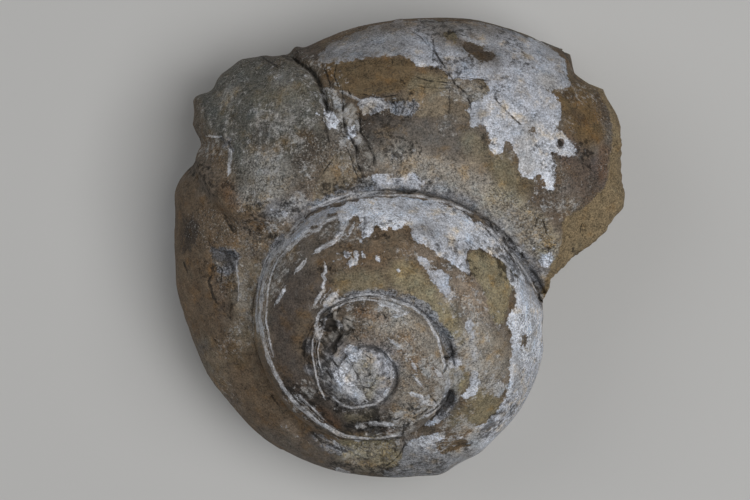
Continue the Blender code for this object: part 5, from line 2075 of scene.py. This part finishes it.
    def with_breaks(self, coats: Coater, under: Socket) -> Socket:
        """Pale rims, painted shade in the hollows, the bare sediment of the break, and painted shade in the
        cracks.

        Args:
            coats: lays the coats.
            under: the colour below.

        Returns:
            The colour with them.
        """
        graph = coats.graph
        streaks = graph.placed(coats.effects.layers, Distance=graph.attribute("rim")).outputs[0]
        streaky = graph.line(graph.rise(*self.rim_streaks, streaks), *self.rim_cover)
        rim = graph.times(coats.line("rim", self.rim_line), streaky)
        colour = graph.mix(rim, under, coats.mottled(self.rim))
        # painted shade in the hollows
        colour = coats.coated(colour, "hollow_shade", self.hollow_shade, self.hollow_shade.colour)
        pores = graph.times(graph.rise(*self.pores, graph.noise(Texture.PORES)), self.pore_cover)
        sediment = graph.mix(pores, coats.mottled(self.sediment), Pigment.DARK_BROWN.value)
        colour = graph.mix(coats.mask("sediment", self.sediment), colour, sediment)
        # painted shade: the cracks darkened nearly to black
        fading = graph.rise(*self.crack_fading, graph.noise(Texture.CRACK_FADING))
        crack = graph.times(coats.line("crack", self.crack_line), graph.line(fading, *self.crack_cover))
        return graph.mix(crack, colour, self.crack_shade)

    def fine_relief(self, graph: Graph, grains: Socket, shell: Socket) -> Socket:
        """Bumps too fine for the mesh.

        Args:
            graph: the material's graph.
            grains: height of the coarse grains.
            shell: mask of the remnants of shell.

        Returns:
            The normal.
        """
        skin = graph.times(graph.noise(Texture.STONE_SKIN), self.skin_height)
        height = graph.times(skin, graph.line(shell, *self.smoother_shell))
        height = graph.line(grains, self.grain_height, height)
        height = graph.line(shell, self.shell_height, height)
        node = graph.add("ShaderNodeBump")
        node.inputs["Strength"].default_value = self.bump_strength
        node.inputs["Distance"].default_value = MM
        graph.feed(node.inputs["Height"], height)
        return node.outputs[0]

    def material(self, effects: Effects) -> bpy.types.Material:
        """The stone's material.

        Args:
            effects: the shared node groups.

        Returns:
            A material that reads the layers that Paint makes.
        """
        material = bpy.data.materials.new("fossil_stone")
        material.use_nodes = True
        graph = Graph(material.node_tree)
        coats = Coater(graph, effects)
        speckle = graph.attribute("speckle")
        hairs = graph.placed(effects.hairs, Amount=self.hair_amount).outputs[0]
        grains = graph.placed(effects.grains, Amount=speckle)
        shell = coats.mask("shell", self.shell)
        colour = self.bare_stone(coats, speckle, hairs, grains)
        colour = self.with_shell(coats, colour, speckle, hairs, shell)
        colour = self.with_films(coats, colour)
        colour = self.with_suture(coats, colour)
        colour = self.with_breaks(coats, colour)
        rough = graph.line(shell, self.shell_roughness - self.roughness, self.roughness)
        rough = graph.line(graph.noise(Texture.SHEEN), self.sheen_swing, graph.minus(rough, self.sheen_start))
        shader = material.node_tree.nodes["Principled BSDF"]
        shader.inputs["Specular IOR Level"].default_value = self.specular
        graph.feed(shader.inputs["Base Color"], colour)
        graph.feed(shader.inputs["Roughness"], rough)
        graph.feed(shader.inputs["Normal"], self.fine_relief(graph, grains.outputs["Height"], shell))
        return material


@dataclass(frozen=True)
class FloorFinish:
    """A plain pale studio floor."""

    colour: Colour = (0.62, 0.615, 0.60)
    roughness: float = 0.9

    def material(self) -> bpy.types.Material:
        """The floor's material.

        Returns:
            A matt, even one.
        """
        material = bpy.data.materials.new("pale_floor")
        material.use_nodes = True
        shader = material.node_tree.nodes["Principled BSDF"]
        shader.inputs["Base Color"].default_value = (*self.colour, 1.0)
        shader.inputs["Roughness"].default_value = self.roughness
        return material


# --- The pieces ------------------------------------------------------------------------------


@dataclass
class Fossil:
    """The stone: whorls, relief, paint and finish in one closed piece."""

    name: str = "gastropod_mould"
    most_triangles: int = 190_000
    form: Spiral = field(default_factory=Spiral)
    relief: Relief = field(default_factory=Relief)
    paint: Paint = field(default_factory=Paint)
    finish: StoneFinish = field(default_factory=StoneFinish)

    def carved(self) -> Mesh:
        """The skin with its relief.

        Returns:
            A mesh of triangles, in millimetres.
        """
        bm = self.form.skin()
        surface = Surface.of(bm)
        heights = self.relief.of(surface)
        rough = bm.verts.layers.float["rough"]
        carved = surface.points + surface.normals * heights[:, None]
        carved = carved + self.relief.outline_shift(carved)
        for vert, point, value in zip(bm.verts, carved, surface.rough):
            vert.co = point
            vert[rough] = value
        bmesh.ops.triangulate(bm, faces=bm.faces)
        return bm

    def thinned(self, bm: Mesh) -> Mesh:
        """A skin with fewer triangles, closest where it bends most.

        Args:
            bm: the skin, which is used up.

        Returns:
            The thinner one.
        """
        share = self.most_triangles / len(bm.faces)
        mesh = bpy.data.meshes.new("skin")
        bm.to_mesh(mesh)
        bm.free()
        skin = bpy.data.objects.new("skin", mesh)
        bpy.context.scene.collection.objects.link(skin)
        modifier = skin.modifiers.new("thin", "DECIMATE")
        modifier.ratio = share
        modifier.use_collapse_triangulate = True
        result = bmesh.new()
        result.from_object(skin, bpy.context.evaluated_depsgraph_get())
        bpy.data.objects.remove(skin)
        bpy.data.meshes.remove(mesh)
        return result

    def cut_flat(self, bm: Mesh) -> None:
        """Cuts the worn flat that the stone lies on.

        Args:
            bm: the skin.
        """
        everything = [*bm.verts, *bm.edges, *bm.faces]
        bmesh.ops.bisect_plane(
            bm, geom=everything, dist=self.form.weld, plane_co=(0, 0, 0), plane_no=(0, 0, 1), clear_inner=True
        )
        rim = [edge for edge in bm.edges if edge.is_boundary]
        bmesh.ops.triangle_fill(bm, use_beauty=True, use_dissolve=False, edges=rim, normal=(0, 0, -1))
        bmesh.ops.recalc_face_normals(bm, faces=bm.faces)
        bmesh.ops.triangulate(bm, faces=bm.faces)

    def painted(self, mesh: bpy.types.Mesh, surface: Surface) -> None:
        """Writes the layers of paint on the mesh.

        Args:
            mesh: the finished mesh.
            surface: the same mesh's surface, in millimetres.
        """
        for name, values in self.paint.layers(surface).items():
            coloured = values.ndim == 2
            old = mesh.attributes.get(name)
            if old is not None:
                mesh.attributes.remove(old)
            layer = mesh.attributes.new(name, "FLOAT_COLOR" if coloured else "FLOAT", "POINT")
            layer.data.foreach_set("color" if coloured else "value", values.astype(np.float32).ravel())

    def build(self, effects: Effects) -> bpy.types.Object:
        """Makes the piece and ties it to the frame.

        Args:
            effects: the shared node groups.

        Returns:
            The finished object, in metres, at the origin.
        """
        bm = self.thinned(self.carved())
        self.cut_flat(bm)
        bm.normal_update()
        surface = Surface.of(bm)
        bmesh.ops.scale(bm, vec=(MM, MM, MM), verts=bm.verts)
        mesh = bpy.data.meshes.new(self.name)
        bm.to_mesh(mesh)
        bm.free()
        self.painted(mesh, surface)
        mesh.shade_smooth()
        mesh.materials.append(self.finish.material(effects))
        fossil = bpy.data.objects.new(self.name, mesh)
        bpy.context.scene.collection.objects.link(fossil)
        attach(fossil, BODY)
        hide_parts(NODE)
        LOG.info("%s: %d triangles", self.name, len(mesh.polygons))
        return fossil


@dataclass
class Studio:
    """The floor, the lights and the camera, in metres and watts."""

    floor_size: float = 6.0
    sensor: float = 36.0
    clip_start: float = 0.01
    world_colour: Colour = (0.80, 0.81, 0.83)
    world_strength: float = 0.17
    key_place: Place = (0.42, -0.10, 1.10)
    key_size: float = 0.7
    key_power: float = 7.7
    fill_place: Place = (-0.75, 0.35, 1.0)
    fill_size: float = 0.9
    fill_power: float = 2.3

    def floor(self) -> bpy.types.Object:
        """A wide level floor under the stone.

        Returns:
            The floor.
        """
        bm = bmesh.new()
        bmesh.ops.create_grid(bm, x_segments=1, y_segments=1, size=self.floor_size / 2)
        mesh = bpy.data.meshes.new("floor")
        bm.to_mesh(mesh)
        bm.free()
        mesh.materials.append(FloorFinish().material())
        floor = bpy.data.objects.new("floor", mesh)
        bpy.context.scene.collection.objects.link(floor)
        return floor

    def lamp(self, name: str, place: Place, size: float, power: float) -> bpy.types.Object:
        """A square soft lamp that faces the stone.

        Args:
            name: its name.
            place: where it stands.
            size: length of its sides.
            power: its power.

        Returns:
            The lamp.
        """
        light = bpy.data.lights.new(name, "AREA")
        light.shape = "SQUARE"
        light.size = size
        light.energy = power
        lamp = bpy.data.objects.new(name, light)
        lamp.location = place
        lamp.rotation_euler = (-Vector(place)).to_track_quat("-Z", "Y").to_euler()
        bpy.context.scene.collection.objects.link(lamp)
        return lamp

    def world(self) -> bpy.types.World:
        """Pale light from all round.

        Returns:
            The world that gives it.
        """
        world = bpy.data.worlds.new("studio")
        world.use_nodes = True
        background = world.node_tree.nodes["Background"]
        background.inputs["Color"].default_value = (*self.world_colour, 1.0)
        background.inputs["Strength"].default_value = self.world_strength
        bpy.context.scene.world = world
        return world

    def camera(self) -> bpy.types.Object:
        """A camera at the chart's viewpoint that looks straight down.

        Returns:
            The camera, which frames the whole chart.
        """
        data = bpy.data.cameras.new("camera")
        data.sensor_width = self.sensor
        width = CHART.width / CHART.units_in_a_mm
        data.lens = self.sensor * (CHART.eye[2] - CHART.level) / width
        data.clip_start = self.clip_start
        camera = bpy.data.objects.new("camera", data)
        camera.location = tuple(MM * value for value in CHART.eye)
        bpy.context.scene.collection.objects.link(camera)
        bpy.context.scene.camera = camera
        return camera

    def build(self) -> None:
        """Sets up the studio."""
        self.floor()
        self.lamp("key", self.key_place, self.key_size, self.key_power)
        self.lamp("fill", self.fill_place, self.fill_size, self.fill_power)
        self.world()
        self.camera()
        bpy.context.scene.view_settings.view_transform = "Standard"
        LOG.info("studio: floor, two lamps and a camera")


def main() -> None:
    """Builds the stone and the studio, and notes how many triangles the stone has."""
    logging.basicConfig(level=logging.INFO, format="%(message)s")
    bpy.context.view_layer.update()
    Studio().build()
    Fossil().build(Effects())


if __name__ == "__main__":
    main()
